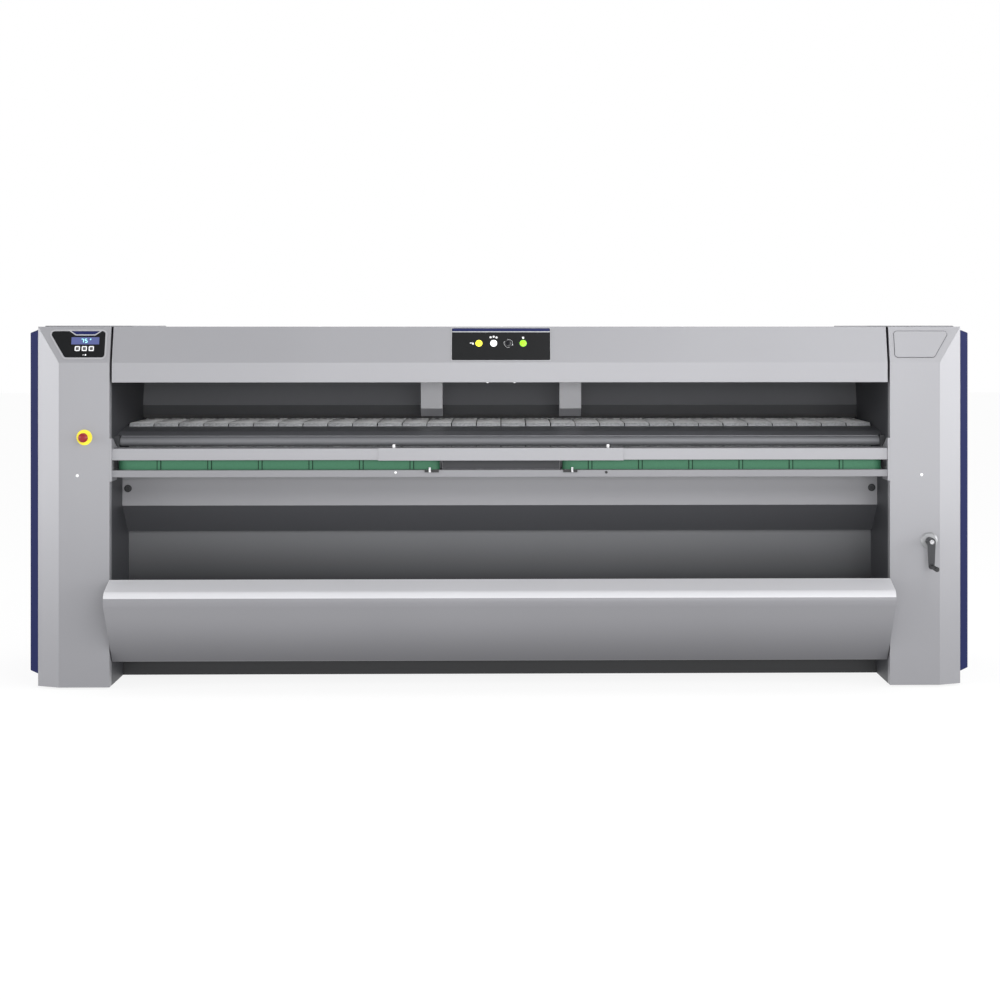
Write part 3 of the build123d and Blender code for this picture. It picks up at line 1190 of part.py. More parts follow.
def control_box():
    """The electrical cabinet on the left side frame: a box with a raised door and a row of glands below."""
    front, rear = BOX_D, FRONT_ROLLER_D - BEARING_HALF - BOX_REAR_GAP
    face = FRAME_X + BOX_W
    body = block(FRAME_X, face, front, rear, BOX_LOW_Z, BOX_TOP_Z)
    door = (front + DOOR_EDGE, rear - DOOR_EDGE, BOX_LOW_Z + DOOR_EDGE, BOX_TOP_Z - DOOR_EDGE)
    body += block(face, face + DOOR_T, *door)
    count = int((rear - front - BOX_GLAND_START - BOX_GLAND_SPARE) // BOX_GLAND_PITCH) + 1
    for index in range(count):
        d = front + BOX_GLAND_START + BOX_GLAND_PITCH * index
        body += rod_z(FRAME_X + BOX_W / 2, d, BOX_LOW_Z - BOX_GLAND_L, BOX_LOW_Z, BOX_GLAND_R)
    return mirror(body, about=Plane.YZ)


def cable_gland():
    """The supply cable's gland: a hexagon and a cap outside the rear cover, a shank and a lock nut."""
    inner, outer = BODY_DEPTH - GLAND_SHANK_L, BODY_DEPTH + GLAND_REACH
    gland = rod_y(-GLAND_X, GLAND_Z, BODY_DEPTH, outer, GLAND_R)
    gland += rod_y(-GLAND_X, GLAND_Z, inner, BODY_DEPTH, GLAND_SHANK_R)
    for start, thickness in ((BODY_DEPTH, GLAND_HEX_T), (REAR_D - GLAND_NUT_T, GLAND_NUT_T)):
        seat = Plane(origin=(-GLAND_X, y_at(start), GLAND_Z), x_dir=(1, 0, 0), z_dir=(0, 1, 0))
        gland += extrude(seat * RegularPolygon(GLAND_HEX_R, 6), amount=thickness)
    return gland - rod_y(-GLAND_X, GLAND_Z, inner - PAST, outer + PAST, GLAND_BORE_R)


# ---------------------------------------------------------------- the whole machine
def pieces():
    """Every node's name with its shape."""
    panel = side_panel()
    return {
        "column_cover_left": column_cover_left(),
        "column_cover_right": column_cover_right(),
        "side_panel_left": mirror(panel, about=Plane.YZ),
        "side_panel_right": panel,
        "hood_cover": hood_cover(),
        "top_cover": top_cover(),
        "rear_cover": rear_cover(),
        "end_lids": end_lids(),
        "side_frame_left": side_frame_left(),
        "side_frame_right": side_frame_right(),
        "base_frame": base_frame(),
        "levelling_feet": levelling_feet(),
        "feed_table": feed_table(),
        "guide_roller": guide_roller(),
        "beam_cover": beam_cover(),
        "beam_centre_cover": beam_centre_cover(),
        "spreader_rail": spreader_rail(),
        "beam_brackets": beam_brackets(),
        "spreader_pulley_left_outer": spreader_pulley(-SPREAD_OUTER_X),
        "spreader_pulley_left_inner": spreader_pulley(-SPREAD_INNER_X),
        "spreader_pulley_right_inner": spreader_pulley(SPREAD_INNER_X),
        "spreader_pulley_right_outer": spreader_pulley(SPREAD_OUTER_X),
        "spreader_belt_left": spreader_belt(-1),
        "spreader_belt_right": spreader_belt(1),
        "ironing_belts": ironing_belts(),
        "belt_bed": belt_bed(),
        "front_roller": roller("front_roller"),
        "nip_roller": roller("nip_roller"),
        "take_off_roller": roller("take_off_roller"),
        "drum": drum(),
        "drum_pulley": drum_pulley(),
        "bearing_blocks": bearing_blocks(),
        "heating_elements": heating_elements(),
        "motor_pulley": motor_pulley(),
        "drive_belt": drive_belt(),
        "gearmotor": gearmotor(),
        "apron": apron(),
        "chute_plate": chute_plate(),
        "trough": trough(),
        "trough_ends": trough_ends(),
        "plinth": plinth(),
        "belt_guard": belt_guard(),
        "hood_brackets": hood_brackets(),
        "indicator_panel": indicator_panel(),
        "indicator_lamps": indicator_lamps(),
        "display_panel": display_panel(),
        "display_window": display_window(),
        "blank_panel": blank_panel(),
        "panel_key_left": panel_key(0),
        "panel_key_middle": panel_key(1),
        "panel_key_right": panel_key(2),
        "estop_base": estop_base(),
        "estop_button": estop_button(),
        "crank_bezel": crank_bezel(),
        "hand_crank": hand_crank(),
        "crank_grip": crank_grip(),
        "fan_housing": fan_housing(),
        "fan_impeller": fan_impeller(),
        "control_box": control_box(),
        "cable_gland": cable_gland(),
    }


def main():
    os.makedirs("parts", exist_ok=True)
    for name, shape in pieces().items():
        export_step(shape, f"parts/{name}.step")


main()
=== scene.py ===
"""Looks of a flatwork ironer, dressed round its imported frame: finishes, belts, panels, screws and studio."""

import logging
import math
from collections.abc import Callable
from dataclasses import dataclass
from enum import Enum

import bmesh
import bpy
from mathutils import Matrix, Vector


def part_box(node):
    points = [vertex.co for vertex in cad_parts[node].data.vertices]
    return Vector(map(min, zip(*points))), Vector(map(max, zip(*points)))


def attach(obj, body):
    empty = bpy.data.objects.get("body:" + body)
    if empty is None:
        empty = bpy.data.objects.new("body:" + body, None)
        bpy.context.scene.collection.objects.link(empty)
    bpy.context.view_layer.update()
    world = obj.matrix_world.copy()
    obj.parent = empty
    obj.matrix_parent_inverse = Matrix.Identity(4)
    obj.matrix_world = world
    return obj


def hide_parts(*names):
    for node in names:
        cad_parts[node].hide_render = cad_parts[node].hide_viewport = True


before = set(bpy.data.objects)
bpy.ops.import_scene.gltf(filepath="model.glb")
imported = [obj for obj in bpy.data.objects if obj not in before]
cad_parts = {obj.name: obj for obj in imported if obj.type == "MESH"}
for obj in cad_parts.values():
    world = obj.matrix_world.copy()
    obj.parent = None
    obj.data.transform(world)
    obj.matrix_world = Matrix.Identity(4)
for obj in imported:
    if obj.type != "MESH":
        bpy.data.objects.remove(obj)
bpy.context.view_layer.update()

LOG = logging.getLogger("ironer")
Piece = bpy.types.Object
Tree = bpy.types.NodeTree
Node = bpy.types.Node
Socket = bpy.types.NodeSocket
Point = tuple[float, float]
Triple = tuple[float, float, float]
Spots = list[tuple[Vector, Vector]]

MM = 0.001
TINY = 1e-6
WELD = 1e-5  # corners closer than this are one, in metres
FLAT_ANGLE = math.radians(0.5)  # faces that meet flatter than this are one
FOLD_ANGLE = math.radians(12)  # edges sharper than this are rounded
SHEET_EDGE = 6 * MM  # a face narrower than this is a sheet's cut edge
FOLD_STEPS = 3
RIM_STEPS = 1
FACE_WEIGHT = 100  # shading follows the broad faces
SEAT = 0.5  # how far an added piece reaches into what it sits on, in mm
HEAD_ROOT = 1.0  # how far a screw head reaches into what it sits on, in mm
PANEL_PROUD = 3.0  # height of the panels' foils above the slope, in mm
PRINT_T = 0.15  # how far a print stands out of a foil and reaches into it, in mm
DOT_FACES = 16
LENS_FACES = 40


# ------------------------------------------------------------------ small tools
def linear(hex_colour: str) -> tuple[float, float, float, float]:
    """Turns an sRGB hex colour, with its leading hash, into linear RGBA."""
    parts = [int(hex_colour[i:i + 2], 16) / 255 for i in (1, 3, 5)]
    red, green, blue = [c / 12.92 if c <= 0.04045 else ((c + 0.055) / 1.055) ** 2.4 for c in parts]
    return (red, green, blue, 1.0)


def add_node(tree: Tree, kind: str, values: dict | None = None, links: dict | None = None) -> Node:
    """Adds a node with its settings and its incoming links.

    Args:
        tree: the node tree.
        kind: the node's type name.
        values: properties by name, and socket values by socket name or number.
        links: output sockets to join, by the input's name or number.

    Returns:
        The new node.
    """
    node = tree.nodes.new(kind)
    for key, value in (values or {}).items():
        if isinstance(key, str) and hasattr(node, key):
            setattr(node, key, value)
        else:
            node.inputs[key].default_value = value
    for key, source in (links or {}).items():
        tree.links.new(source, node.inputs[key])
    return node


def output(tree: Tree, kind: str, values: dict | None = None, links: dict | None = None) -> Socket:
    """Adds a node as add_node does, and returns its first output."""
    return add_node(tree, kind, values, links).outputs[0]


def ranged(tree: Tree, value: Socket, before: Point = (0.0, 1.0), after: Point = (0.0, 1.0),
           kind: str = "LINEAR") -> Socket:
    """Carries a value from one range to another."""
    limits = {"From Min": before[0], "From Max": before[1], "To Min": after[0], "To Max": after[1]}
    return output(tree, "ShaderNodeMapRange", {"interpolation_type": kind, **limits}, {"Value": value})


def new_object(name: str, data: bpy.types.ID) -> Piece:
    """Links new data into the scene as an object at the origin."""
    made = bpy.data.objects.new(name, data)
    bpy.context.scene.collection.objects.link(made)
    return made


def mesh_object(name: str, points: list, faces: list, smooth: bool = False) -> Piece:
    """Makes a mesh object, with its normals turned outwards.

    Args:
        name: the piece's name.
        points: corner positions in metres.
        faces: corner numbers of each face.
        smooth: whether faces are shaded smooth.

    Returns:
        The new object.
    """
    data = bpy.data.meshes.new(name)
    data.from_pydata([tuple(p) for p in points], [], faces)
    work = bmesh.new()
    work.from_mesh(data)
    bmesh.ops.recalc_face_normals(work, faces=work.faces)
    for face in work.faces:
        face.smooth = smooth
    work.to_mesh(data)
    work.free()
    return new_object(name, data)


def bake(piece: Piece) -> Piece:
    """Replaces a piece's mesh by what its modifiers make of it, and removes them."""
    bpy.context.view_layer.update()
    graph = bpy.context.evaluated_depsgraph_get()
    finished = bpy.data.meshes.new_from_object(piece.evaluated_get(graph))
    piece.modifiers.clear()
    piece.data = finished
    return piece


def join(name: str, pieces: list[Piece]) -> Piece:
    """Joins mesh objects into one under a new name."""
    work = bmesh.new()
    for piece in pieces:
        work.from_mesh(piece.data)
    data = bpy.data.meshes.new(name)
    work.to_mesh(data)
    work.free()
    for piece in pieces:
        bpy.data.objects.remove(piece)
    return new_object(name, data)


# ------------------------------------------------------------------ finishes
@dataclass
class Canvas:
    """A material's tree while a finish is drawn in it: its shader and the object's own coordinates."""

    tree: Tree
    shader: Node
    place: Socket

    def feed(self, label: str, source: Socket) -> None:
        """Joins an output to one of the shader's inputs."""
        self.tree.links.new(source, self.shader.inputs[label])

    def stretched(self, scale: Triple) -> Socket:
        """The object's coordinates, scaled, so that a pattern is drawn out where they are small."""
        return output(self.tree, "ShaderNodeMapping", {"Scale": scale}, {"Vector": self.place})

    def noise(self, scale: float, detail: float, place: Socket) -> Socket:
        """A cloudy pattern over some coordinates."""
        return output(self.tree, "ShaderNodeTexNoise", {"Scale": scale, "Detail": detail}, {"Vector": place})

    def mix(self, factor: Socket, first: str, second: str | Socket) -> Socket:
        """Mixes the base colour from two, by a factor.

        Args:
            factor: how much of the second colour shows.
            first: a hex colour.
            second: a hex colour, or one already drawn.

        Returns:
            The mixed colour.
        """
        values, links = {"data_type": "RGBA", 6: linear(first)}, {0: factor}
        if isinstance(second, str):
            values[7] = linear(second)
        else:
            links[7] = second
        mixed = add_node(self.tree, "ShaderNodeMix", values, links).outputs[2]
        self.feed("Base Color", mixed)
        return mixed

    def relief(self, height: Socket, depth_mm: float, strength: float) -> None:
        """Lets a height pattern bend the light."""
        values = {"Strength": strength, "Distance": depth_mm * MM}
        self.feed("Normal", output(self.tree, "ShaderNodeBump", values, {"Height": height}))


@dataclass(frozen=True)
class Finish:
    """A surface finish: name, colours, shine, and the size and depth of its grain."""

    name: str
    tone: str
    roughness: float = 0.5
    metallic: float = 0.0
    coat: float = 0.0
    specular: float = 0.5
    second: str = ""
    grain_mm: float = 3.0
    grain_detail: float = 3.0
    spread: float = 0.06  # of the roughness, each way
    bump_mm: float = 0.08
    bump: float = 0.15
    along: Triple | None = None

    def material(self) -> bpy.types.Material:
        """Makes the material once, and returns the same one afterwards."""
        made = bpy.data.materials.get(self.name)
        if made:
            return made
        made = bpy.data.materials.new(self.name)
        made.use_nodes = True
        made.diffuse_color = linear(self.tone)
        tree = made.node_tree
        tree.nodes.clear()
        shader = add_node(tree, "ShaderNodeBsdfPrincipled", {
            "Base Color": linear(self.tone), "Roughness": self.roughness, "Metallic": self.metallic,
            "Coat Weight": self.coat, "Specular IOR Level": self.specular})
        add_node(tree, "ShaderNodeOutputMaterial", {}, {"Surface": shader.outputs[0]})
        self.pattern(Canvas(tree, shader, add_node(tree, "ShaderNodeTexCoord").outputs["Object"]))
        return made

    def gloss(self, canvas: Canvas, place: Socket) -> Socket:
        """Varies the roughness by the grain, and returns the grain."""
        grain = canvas.noise(1000 / self.grain_mm, self.grain_detail, place)
        canvas.feed("Roughness", ranged(canvas.tree, grain, after=span(self.roughness, self.spread)))
        return grain

    def pattern(self, canvas: Canvas) -> None:
        """Draws the grain in gloss, in tone where a second colour is named, and in relief."""
        grain = self.gloss(canvas, canvas.stretched(self.along) if self.along else canvas.place)
        if self.second:
            canvas.mix(grain, self.tone, self.second)
        if self.bump:
            canvas.relief(grain, self.bump_mm, self.bump)


@dataclass(frozen=True)
class PowderCoat(Finish):
    """Baked powder paint: an orange-peel skin and soft clouds of tone, with painted shade that darkens it
    towards the floor where a low tone is given.
    """

    grain_mm: float = 7.0
    spread: float = 0.04
    bump_mm: float = 0.05
    bump: float = 0.12
    cloud: Point = (1.7, 2.0)  # scale and detail
    low: str = ""
    low_z: Point = (0.0, 1.0)

    def pattern(self, canvas: Canvas) -> None:
        """Draws the clouds, the painted shade towards the foot and the orange peel."""
        upper = canvas.mix(canvas.noise(*self.cloud, canvas.place), self.tone, self.second)
        # the low tone darkens the foot towards the floor as painted shade
        if self.low:
            height = add_node(canvas.tree, "ShaderNodeSeparateXYZ", {}, {0: canvas.place}).outputs[2]
            canvas.mix(ranged(canvas.tree, height, self.low_z, kind="SMOOTHSTEP"), self.low, upper)
        canvas.relief(self.gloss(canvas, canvas.place), self.bump_mm, self.bump)


@dataclass(frozen=True)
class BrushedMetal(Finish):
    """Ground or rolled metal: fine scratches drawn out along the machine's width."""

    grain_mm: float = 2.5
    spread: float = 0.08
    bump_mm: float = 0.05
    along: Triple | None = (0.02, 1.0, 1.0)


@dataclass(frozen=True)
class NeedleFelt(Finish):
    """Needle-punched felt: a matt nap of short crossing fibres."""

    grain_mm: float = 9.0
    spread: float = 0.05
    bump_mm: float = 1.2
    bump: float = 0.6
    sheen: float = 0.8
    lengthwise: Triple = (1.0, 0.3, 1.0)
    crosswise: Triple = (0.35, 1.0, 1.0)
    finer: float = 1.4
    finer_detail: float = 5.0
    contrast: Point = (0.12, 0.42)

    def pattern(self, canvas: Canvas) -> None:
        """Draws two layers of fibres that cross, and a nap."""
        canvas.shader.inputs["Sheen Weight"].default_value = self.sheen
        first = self.gloss(canvas, canvas.stretched(self.lengthwise))
        scale = 1000 / self.grain_mm * self.finer
        other = canvas.noise(scale, self.finer_detail, canvas.stretched(self.crosswise))
        both = output(canvas.tree, "ShaderNodeMath", {"operation": "MULTIPLY"}, {0: first, 1: other})
        canvas.mix(ranged(canvas.tree, both, self.contrast), self.tone, self.second)
        canvas.relief(both, self.bump_mm, self.bump)


@dataclass(frozen=True)
class Moulded(Finish):
    """Moulded plastic or rubber, or smooth wire: the fine even grain of a plain finish."""


@dataclass(frozen=True)
class Lit(Finish):
    """A lens or display lit from behind, with a faint unevenness of the diffuser."""

    grain_mm: float = 8.0
    spread: float = 0.04
    bump: float = 0.0
    glow: float = 1.0

    def pattern(self, canvas: Canvas) -> None:
        """Adds the light to the grain."""
        canvas.shader.inputs["Emission Color"].default_value = linear(self.tone)
        canvas.shader.inputs["Emission Strength"].default_value = self.glow
        super().pattern(canvas)


# silver powder coat on steel sheet: a satin light grey that takes soft reflections, darker towards the floor
# as painted shade
GREY_COAT = PowderCoat("powder_coat_silver_grey", "#9c9ca0", 0.42, 0.2, second="#959599", low="#86868a",
                       low_z=(0.0, 0.9))
# a darker copy of the silver coat, painted shade on the trough and the rail, darker still towards the floor; a
# lighter copy, a painted highlight on the trough's lip; and a lighter copy, a painted highlight on the raised
# borders and the hood's brackets
SHADED_GREY_COAT = PowderCoat("powder_coat_silver_painted_shade", "#88888c", 0.45, 0.1, second="#818185", low="#58585c",
                       low_z=(0.06, 0.32))
# the lip's lighter coat is a painted highlight where it faces up to the light
LIT_LIP_COAT = PowderCoat("powder_coat_lip_painted_highlight", "#cfcfd3", 0.4, second="#c7c7cb")
# a lighter copy of the silver coat, a painted highlight on edges that catch the light
HIGHLIGHT_GREY_COAT = PowderCoat("powder_coat_silver_painted_highlight", "#b4b4b8", 0.4, 0.25, second="#acacb0")
# side panels
BLUE_COAT = PowderCoat("powder_coat_dark_blue", "#111b4e", 0.5, specular=0.2, second="#0f1846")
# inner walls, the guard behind the belts in a lighter grey as painted light, the feeding plate, the apron's
# underside in a darker grey as painted shade, and the plinth
DARK_COAT = PowderCoat("powder_coat_dark_grey", "#414246", 0.5, 0.1, second="#3a3b3f")
LIT_GUARD_COAT = PowderCoat("powder_coat_guard_painted_light", "#808185", 0.5, second="#76777b")
TABLE_COAT = PowderCoat("powder_coat_table_grey", "#77787d", 0.4, 0.1, second="#6f7075")
# the apron's downward faces are darkened as painted shade
SHADED_UNDER_COAT = PowderCoat("apron_underside_painted_shade", "#606165", 0.6, second="#595a5e")
PLINTH_COAT = PowderCoat("powder_coat_plinth_grey", "#212225", 0.5, second="#1d1e20")
# the chute's sheet, darker towards its foot as painted shade
CHUTE_COAT = PowderCoat("zinc_sheet_painted_shade", "#77787b", 0.5, 0.3, second="#6e6f72", low="#2e2f32",
                        low_z=(0.3, 0.6))
# painted and cast housings
BLACK_IRON = PowderCoat("black_painted_iron", "#3a3b3e", 0.45, 0.2, second="#323336")
CAST_ALUMINIUM = PowderCoat("die_cast_aluminium", "#a3a4a6", 0.5, 0.8, second="#97989a", grain_mm=4.0)
# bare metals: inner sheets dulled by steam, rollers, the guide bar worn by the linen, and screws
ZINC_SHEET = BrushedMetal("zinc_coated_sheet", "#6e6f72", 0.45, 0.8, second="#5e5f62")
BRIGHT_STEEL = BrushedMetal("ground_chromed_steel", "#a2a3a8", 0.26, 1.0, second="#929398")
SATIN_STEEL = BrushedMetal("satin_steel_bar", "#86878b", 0.6, 0.3, second="#7c7d81")
PLATED_STEEL = BrushedMetal("zinc_plated_steel", "#c4c4c6", 0.3, 1.0, second="#a9a9ac", along=None)
LACING_WIRE = Moulded("bright_lacing_wire", "#f0f0f2", 0.3)
# belts: grey felt, green cleated rubber with the shade at its cleats' feet, and black toothed rubber
GREY_FELT = NeedleFelt("grey_needle_felt", "#d4d6d9", 0.95, second="#a9abaf")
GREEN_RUBBER = Moulded("green_conveyor_rubber", "#3d7457", 0.5, specular=0.3, grain_mm=6.0, second="#376a4f")
SHADED_GREEN_RUBBER = Moulded("green_conveyor_rubber_painted_shade", "#123222", 0.6, specular=0.2, grain_mm=6.0)
BLACK_RUBBER = Moulded("black_rubber", "#0f0f10", 0.7, specular=0.2)
# panels: polycarbonate foil with a gloss that shows soft reflections, and what is printed on it
BLACK_FOIL = Moulded("black_polycarbonate_foil", "#121315", 0.42, specular=0.25, grain_mm=12.0)
BLUE_FOIL = Moulded("blue_printed_foil", "#1f2552", 0.35, specular=0.3, grain_mm=12.0)
SILVER_PRINT = Moulded("silver_printed_line", "#c9cbd0", 0.35, 0.4)
WHITE_PRINT = Moulded("white_printed_line", "#e9eaec", 0.4)
# caps of clips and screws, and the emergency stop
WHITE_NYLON = Moulded("white_nylon", "#f2f2f3", 0.4)
YELLOW_ABS = Moulded("moulded_abs_yellow", "#f2e23c", 0.4)
RED_ABS = Moulded("moulded_abs_red", "#8c161d", 0.35)
BLACK_ABS = Moulded("moulded_abs_black", "#1f2022", 0.5)
# lenses with a lamp behind, one of them off, and the display
YELLOW_LENS = Lit("acrylic_lens_yellow", "#f6ee3a", 0.25, glow=0.9)
WHITE_LENS = Lit("acrylic_lens_white", "#f4f6f8", 0.25, glow=1.0)
GREEN_LENS = Lit("acrylic_lens_green", "#8fe02c", 0.25, glow=0.8)
DARK_LENS = Moulded("acrylic_lens_dark", "#1c1d20", 0.2, coat=0.2)
BLUE_DISPLAY = Lit("display_backlight_blue", "#4b527c", 0.35, specular=0.25, glow=0.45)
CYAN_DIGITS = Lit("display_digits_cyan", "#9fe6f4", 0.4, glow=0.9)


def dress(finish: Finish, *nodes: str) -> None:
    """Gives frame nodes a finish."""
    for node in nodes:
        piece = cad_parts[node]
        if not piece.material_slots:
            piece.data.materials.append(finish.material())
        for place in piece.material_slots:
            place.material = finish.material()


def mount(piece: Piece, finish: Finish, body: str, slot: str, *replaced: str) -> Piece:
    """Finishes a new piece: its material, the body that it rides on and the nodes it stands for.

    Args:
        piece: the new piece.
        finish: its surface.
        body: the body that it moves with.
        slot: the record's material slot, which is not used here.
        replaced: frame nodes that it stands for.

    Returns:
        The piece.
    """
    piece.data.materials.clear()
    piece.data.materials.append(finish.material())
    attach(piece, body)
    if replaced:
        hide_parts(*replaced)
    LOG.info("%s on %s", piece.name, body)
    return piece


def painted_light_by_facing(piece: Piece, finish: Finish, chosen: Callable[[Vector], bool]) -> None:
    """Gives the faces whose normals are chosen a second finish, as painted light or shade by the way they
    face.
    """
    piece.data.materials.append(finish.material())
    for face in piece.data.polygons:
        face.material_index = int(chosen(face.normal))


def face_reach(face: bmesh.types.BMFace, edge: bmesh.types.BMEdge) -> float:
    """How far a face reaches from one of its edges, on average, in metres."""
    return face.calc_area() / max(edge.calc_length(), TINY)


def softened(node: str, finish: Finish, slot: str, fold_mm: float = 2.0, rim_mm: float = 0.8) -> Piece:
    """Stands a copy of a sheet node in its place, with its folds and cut edges rounded.

    Args:
        node: the frame node.
        finish: the copy's surface.
        slot: the record's material slot.
        fold_mm: the width of the round where two broad faces meet.
        rim_mm: the width of the round along a cut edge.

    Returns:
        The new piece.
    """
    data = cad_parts[node].data.copy()
    work = bmesh.new()
    work.from_mesh(data)
    bmesh.ops.remove_doubles(work, verts=work.verts, dist=WELD)
    bmesh.ops.dissolve_limit(work, angle_limit=FLAT_ANGLE, verts=work.verts, edges=work.edges)
    folds, rims = [], []
    for edge in work.edges:
        if len(edge.link_faces) == 2 and edge.calc_face_angle(0.0) > FOLD_ANGLE:
            narrow = min(face_reach(face, edge) for face in edge.link_faces) < SHEET_EDGE
            (rims if narrow else folds).append(edge)
    for edges, width, segments in ((folds, fold_mm, FOLD_STEPS), (rims, rim_mm, RIM_STEPS)):
        whole = [edge for edge in edges if edge.is_valid]
        if whole and width:
            bmesh.ops.bevel(work, geom=whole, offset=width * MM, offset_type="OFFSET", segments=segments,
                            profile=0.5, affect="EDGES", clamp_overlap=True)
    for face in work.faces:
        face.smooth = True
    work.to_mesh(data)
    work.free()
    piece = new_object(f"{node}_skin", data)
    piece.modifiers.new("shade", "WEIGHTED_NORMAL").weight = FACE_WEIGHT
    return mount(bake(piece), finish, "frame", slot, node)


# ------------------------------------------------------------------ places in the frame
def node_centre(node: str) -> Vector:
    """The middle of a node's box at rest."""
    low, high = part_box(node)
    return (Vector(low) + Vector(high)) / 2


@dataclass(frozen=True)
class Slope:
    """The slanted head of the hood and columns, as a plane to draw on."""

    front_y: float
    low_z: float
    depth: float = 45 * MM
    rise: float = 139 * MM

    def at(self, x: float, along: float, out: float) -> Vector:
        """A point on the slope.

        Args:
            x: position across the machine, in mm.
            along: distance up the slope from its lower edge, in mm.
            out: distance in front of the slope, in mm.

        Returns:
            The point, in metres.
        """
        length = math.hypot(self.depth, self.rise)
        up = Vector((0, self.depth, self.rise)) / length
        normal = Vector((0, -self.rise, self.depth)) / length
        return Vector((x * MM, self.front_y, self.low_z)) + up * along * MM + normal * out * MM


COLUMN_LOW, COLUMN_HIGH = [Vector(corner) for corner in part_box("column_cover_left")]
FRONT_Y = COLUMN_LOW.y
HEAD = Slope(FRONT_Y, COLUMN_HIGH.z - Slope.rise)
HEAD_OUT = (HEAD.at(0, 0, 1) - HEAD.at(0, 0, 0)).normalized()
FORWARD = Vector((0, -1, 0))
UP = Vector((0, 0, 1))
BLOCK_FACES = [[0, 1, 3, 2], [4, 6, 7, 5], [0, 4, 5, 1], [2, 3, 7, 6], [0, 2, 6, 4], [1, 5, 7, 3]]


def spot(x: float, depth: float, z: float) -> Vector:
    """A point from its x, its depth behind the columns' front plane and its height, all in mm."""
    return Vector((x * MM, FRONT_Y + depth * MM, z * MM))


def depth_of(y: float) -> float:
    """Depth in mm behind the columns' front plane of a y in metres."""
    return (y - FRONT_Y) / MM


def front_of(node: str) -> float:
    """Depth in mm of a node's foremost face."""
    return depth_of(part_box(node)[0].y)


def slab(name: str, x: Point, depth: Point, z: Point) -> Piece:
    """A plain block between two values of x, depth and height, all in mm."""
    return mesh_object(name, [spot(a, b, c) for a in x for b in depth for c in z], BLOCK_FACES)


def span(middle: float, half: float) -> Point:
    """The two ends of a stretch."""
    return (middle - half, middle + half)


def rectangle(across: Point, along: Point) -> list[Point]:
    """Corners of an upright rectangle, counter-clockwise from its lower left."""
    return [(across[a], along[b]) for a, b in ((0, 0), (1, 0), (1, 1), (0, 1))]


def polar(x: float, y: float, radius: float, turn: float) -> Point:
    """A point at a radius and an angle from a centre."""
    return (x + radius * math.cos(turn), y + radius * math.sin(turn))


def circle(x: float, y: float, radius: float, count: int = 32) -> list[Point]:
    """Corner points of a round outline."""
    return [polar(x, y, radius, 2 * math.pi * i / count) for i in range(count)]


def rounded(corners: list[Point], radius: float, steps: int = 5) -> list[Point]:
    """An outline with its convex corners rounded.

    Args:
        corners: corner points in order.
        radius: the corner radius.
        steps: stretches in each round corner.

    Returns:
        The rounded outline.
    """
    result = []
    for index, corner in enumerate(corners):
        here = Vector(corner)
        before = (Vector(corners[index - 1]) - here).normalized()
        after = (Vector(corners[(index + 1) % len(corners)]) - here).normalized()
        half = before.angle(after) / 2
        centre = here + (before + after).normalized() * radius / math.sin(half)
        start = here + before * radius / math.tan(half) - centre
        end = here + after * radius / math.tan(half) - centre
        for step in range(steps + 1):
            result.append(tuple(centre + start.lerp(end, step / steps).normalized() * radius))
    return result


def grown(corners: list[Point], distance: float) -> list[Point]:
    """An outline moved outwards by a distance; its corners run counter-clockwise."""
    lines = []
    for here, after in zip(corners, corners[1:] + corners[:1]):
        along = (Vector(after) - Vector(here)).normalized()
        lines.append((Vector(here) + Vector((along.y, -along.x)) * distance, along))
    pairs = zip(lines[-1:] + lines[:-1], lines)
    return [tuple(a + u * ((b - a).cross(v) / u.cross(v))) for (a, u), (b, v) in pairs]


def slope_plate(name: str, outline: list[Point], low: float, high: float) -> Piece:
    """A thin plate lying on the slanted head.

    Args:
        name: the piece's name.
        outline: (x, along) corners in mm.
        low: height of its back above the slope, in mm.
        high: height of its face above the slope, in mm.

    Returns:
        The plate.
    """
    count = len(outline)
    points = [HEAD.at(x, along, out) for out in (low, high) for x, along in outline]
    faces = [list(range(count)), list(range(count, 2 * count))]
    faces += [[i, (i + 1) % count, (i + 1) % count + count, i + count] for i in range(count)]
    return mesh_object(name, points, faces)


def slope_ring(name: str, outline: list[Point], inner: list[Point], low: float, high: float) -> Piece:
    """A thin line on the slanted head, between two outlines of as many corners."""
    count = len(outline)
    points = [HEAD.at(x, along, out) for out in (low, high) for ring in (outline, inner) for x, along in ring]
    faces = []
    for i in range(count):
        j = (i + 1) % count
        for a, b in ((0, 1), (2, 3), (0, 2), (1, 3)):
            faces.append([a * count + i, a * count + j, b * count + j, b * count + i])
    return mesh_object(name, points, faces)


def printed(name: str, outline: list[Point], above: float = 0.0) -> Piece:
    """A print on a panel's foil, as high above it as asked."""
    return slope_plate(name, outline, *span(PANEL_PROUD + above, PRINT_T))


# ------------------------------------------------------------------ what repeats
class Repeat(Enum):
    """How a row of copies is laid out."""

    ON_PLACES = "one copy on each place, turned to the place's own direction"
    IN_A_ROW = "copies at an even pitch across the machine"


TREE_INPUTS = {"Shape": "Geometry", "Places": "Object", "Count": "Int", "Pitch": "Float", "Sway": "Float",
               "Seed": "Int"}


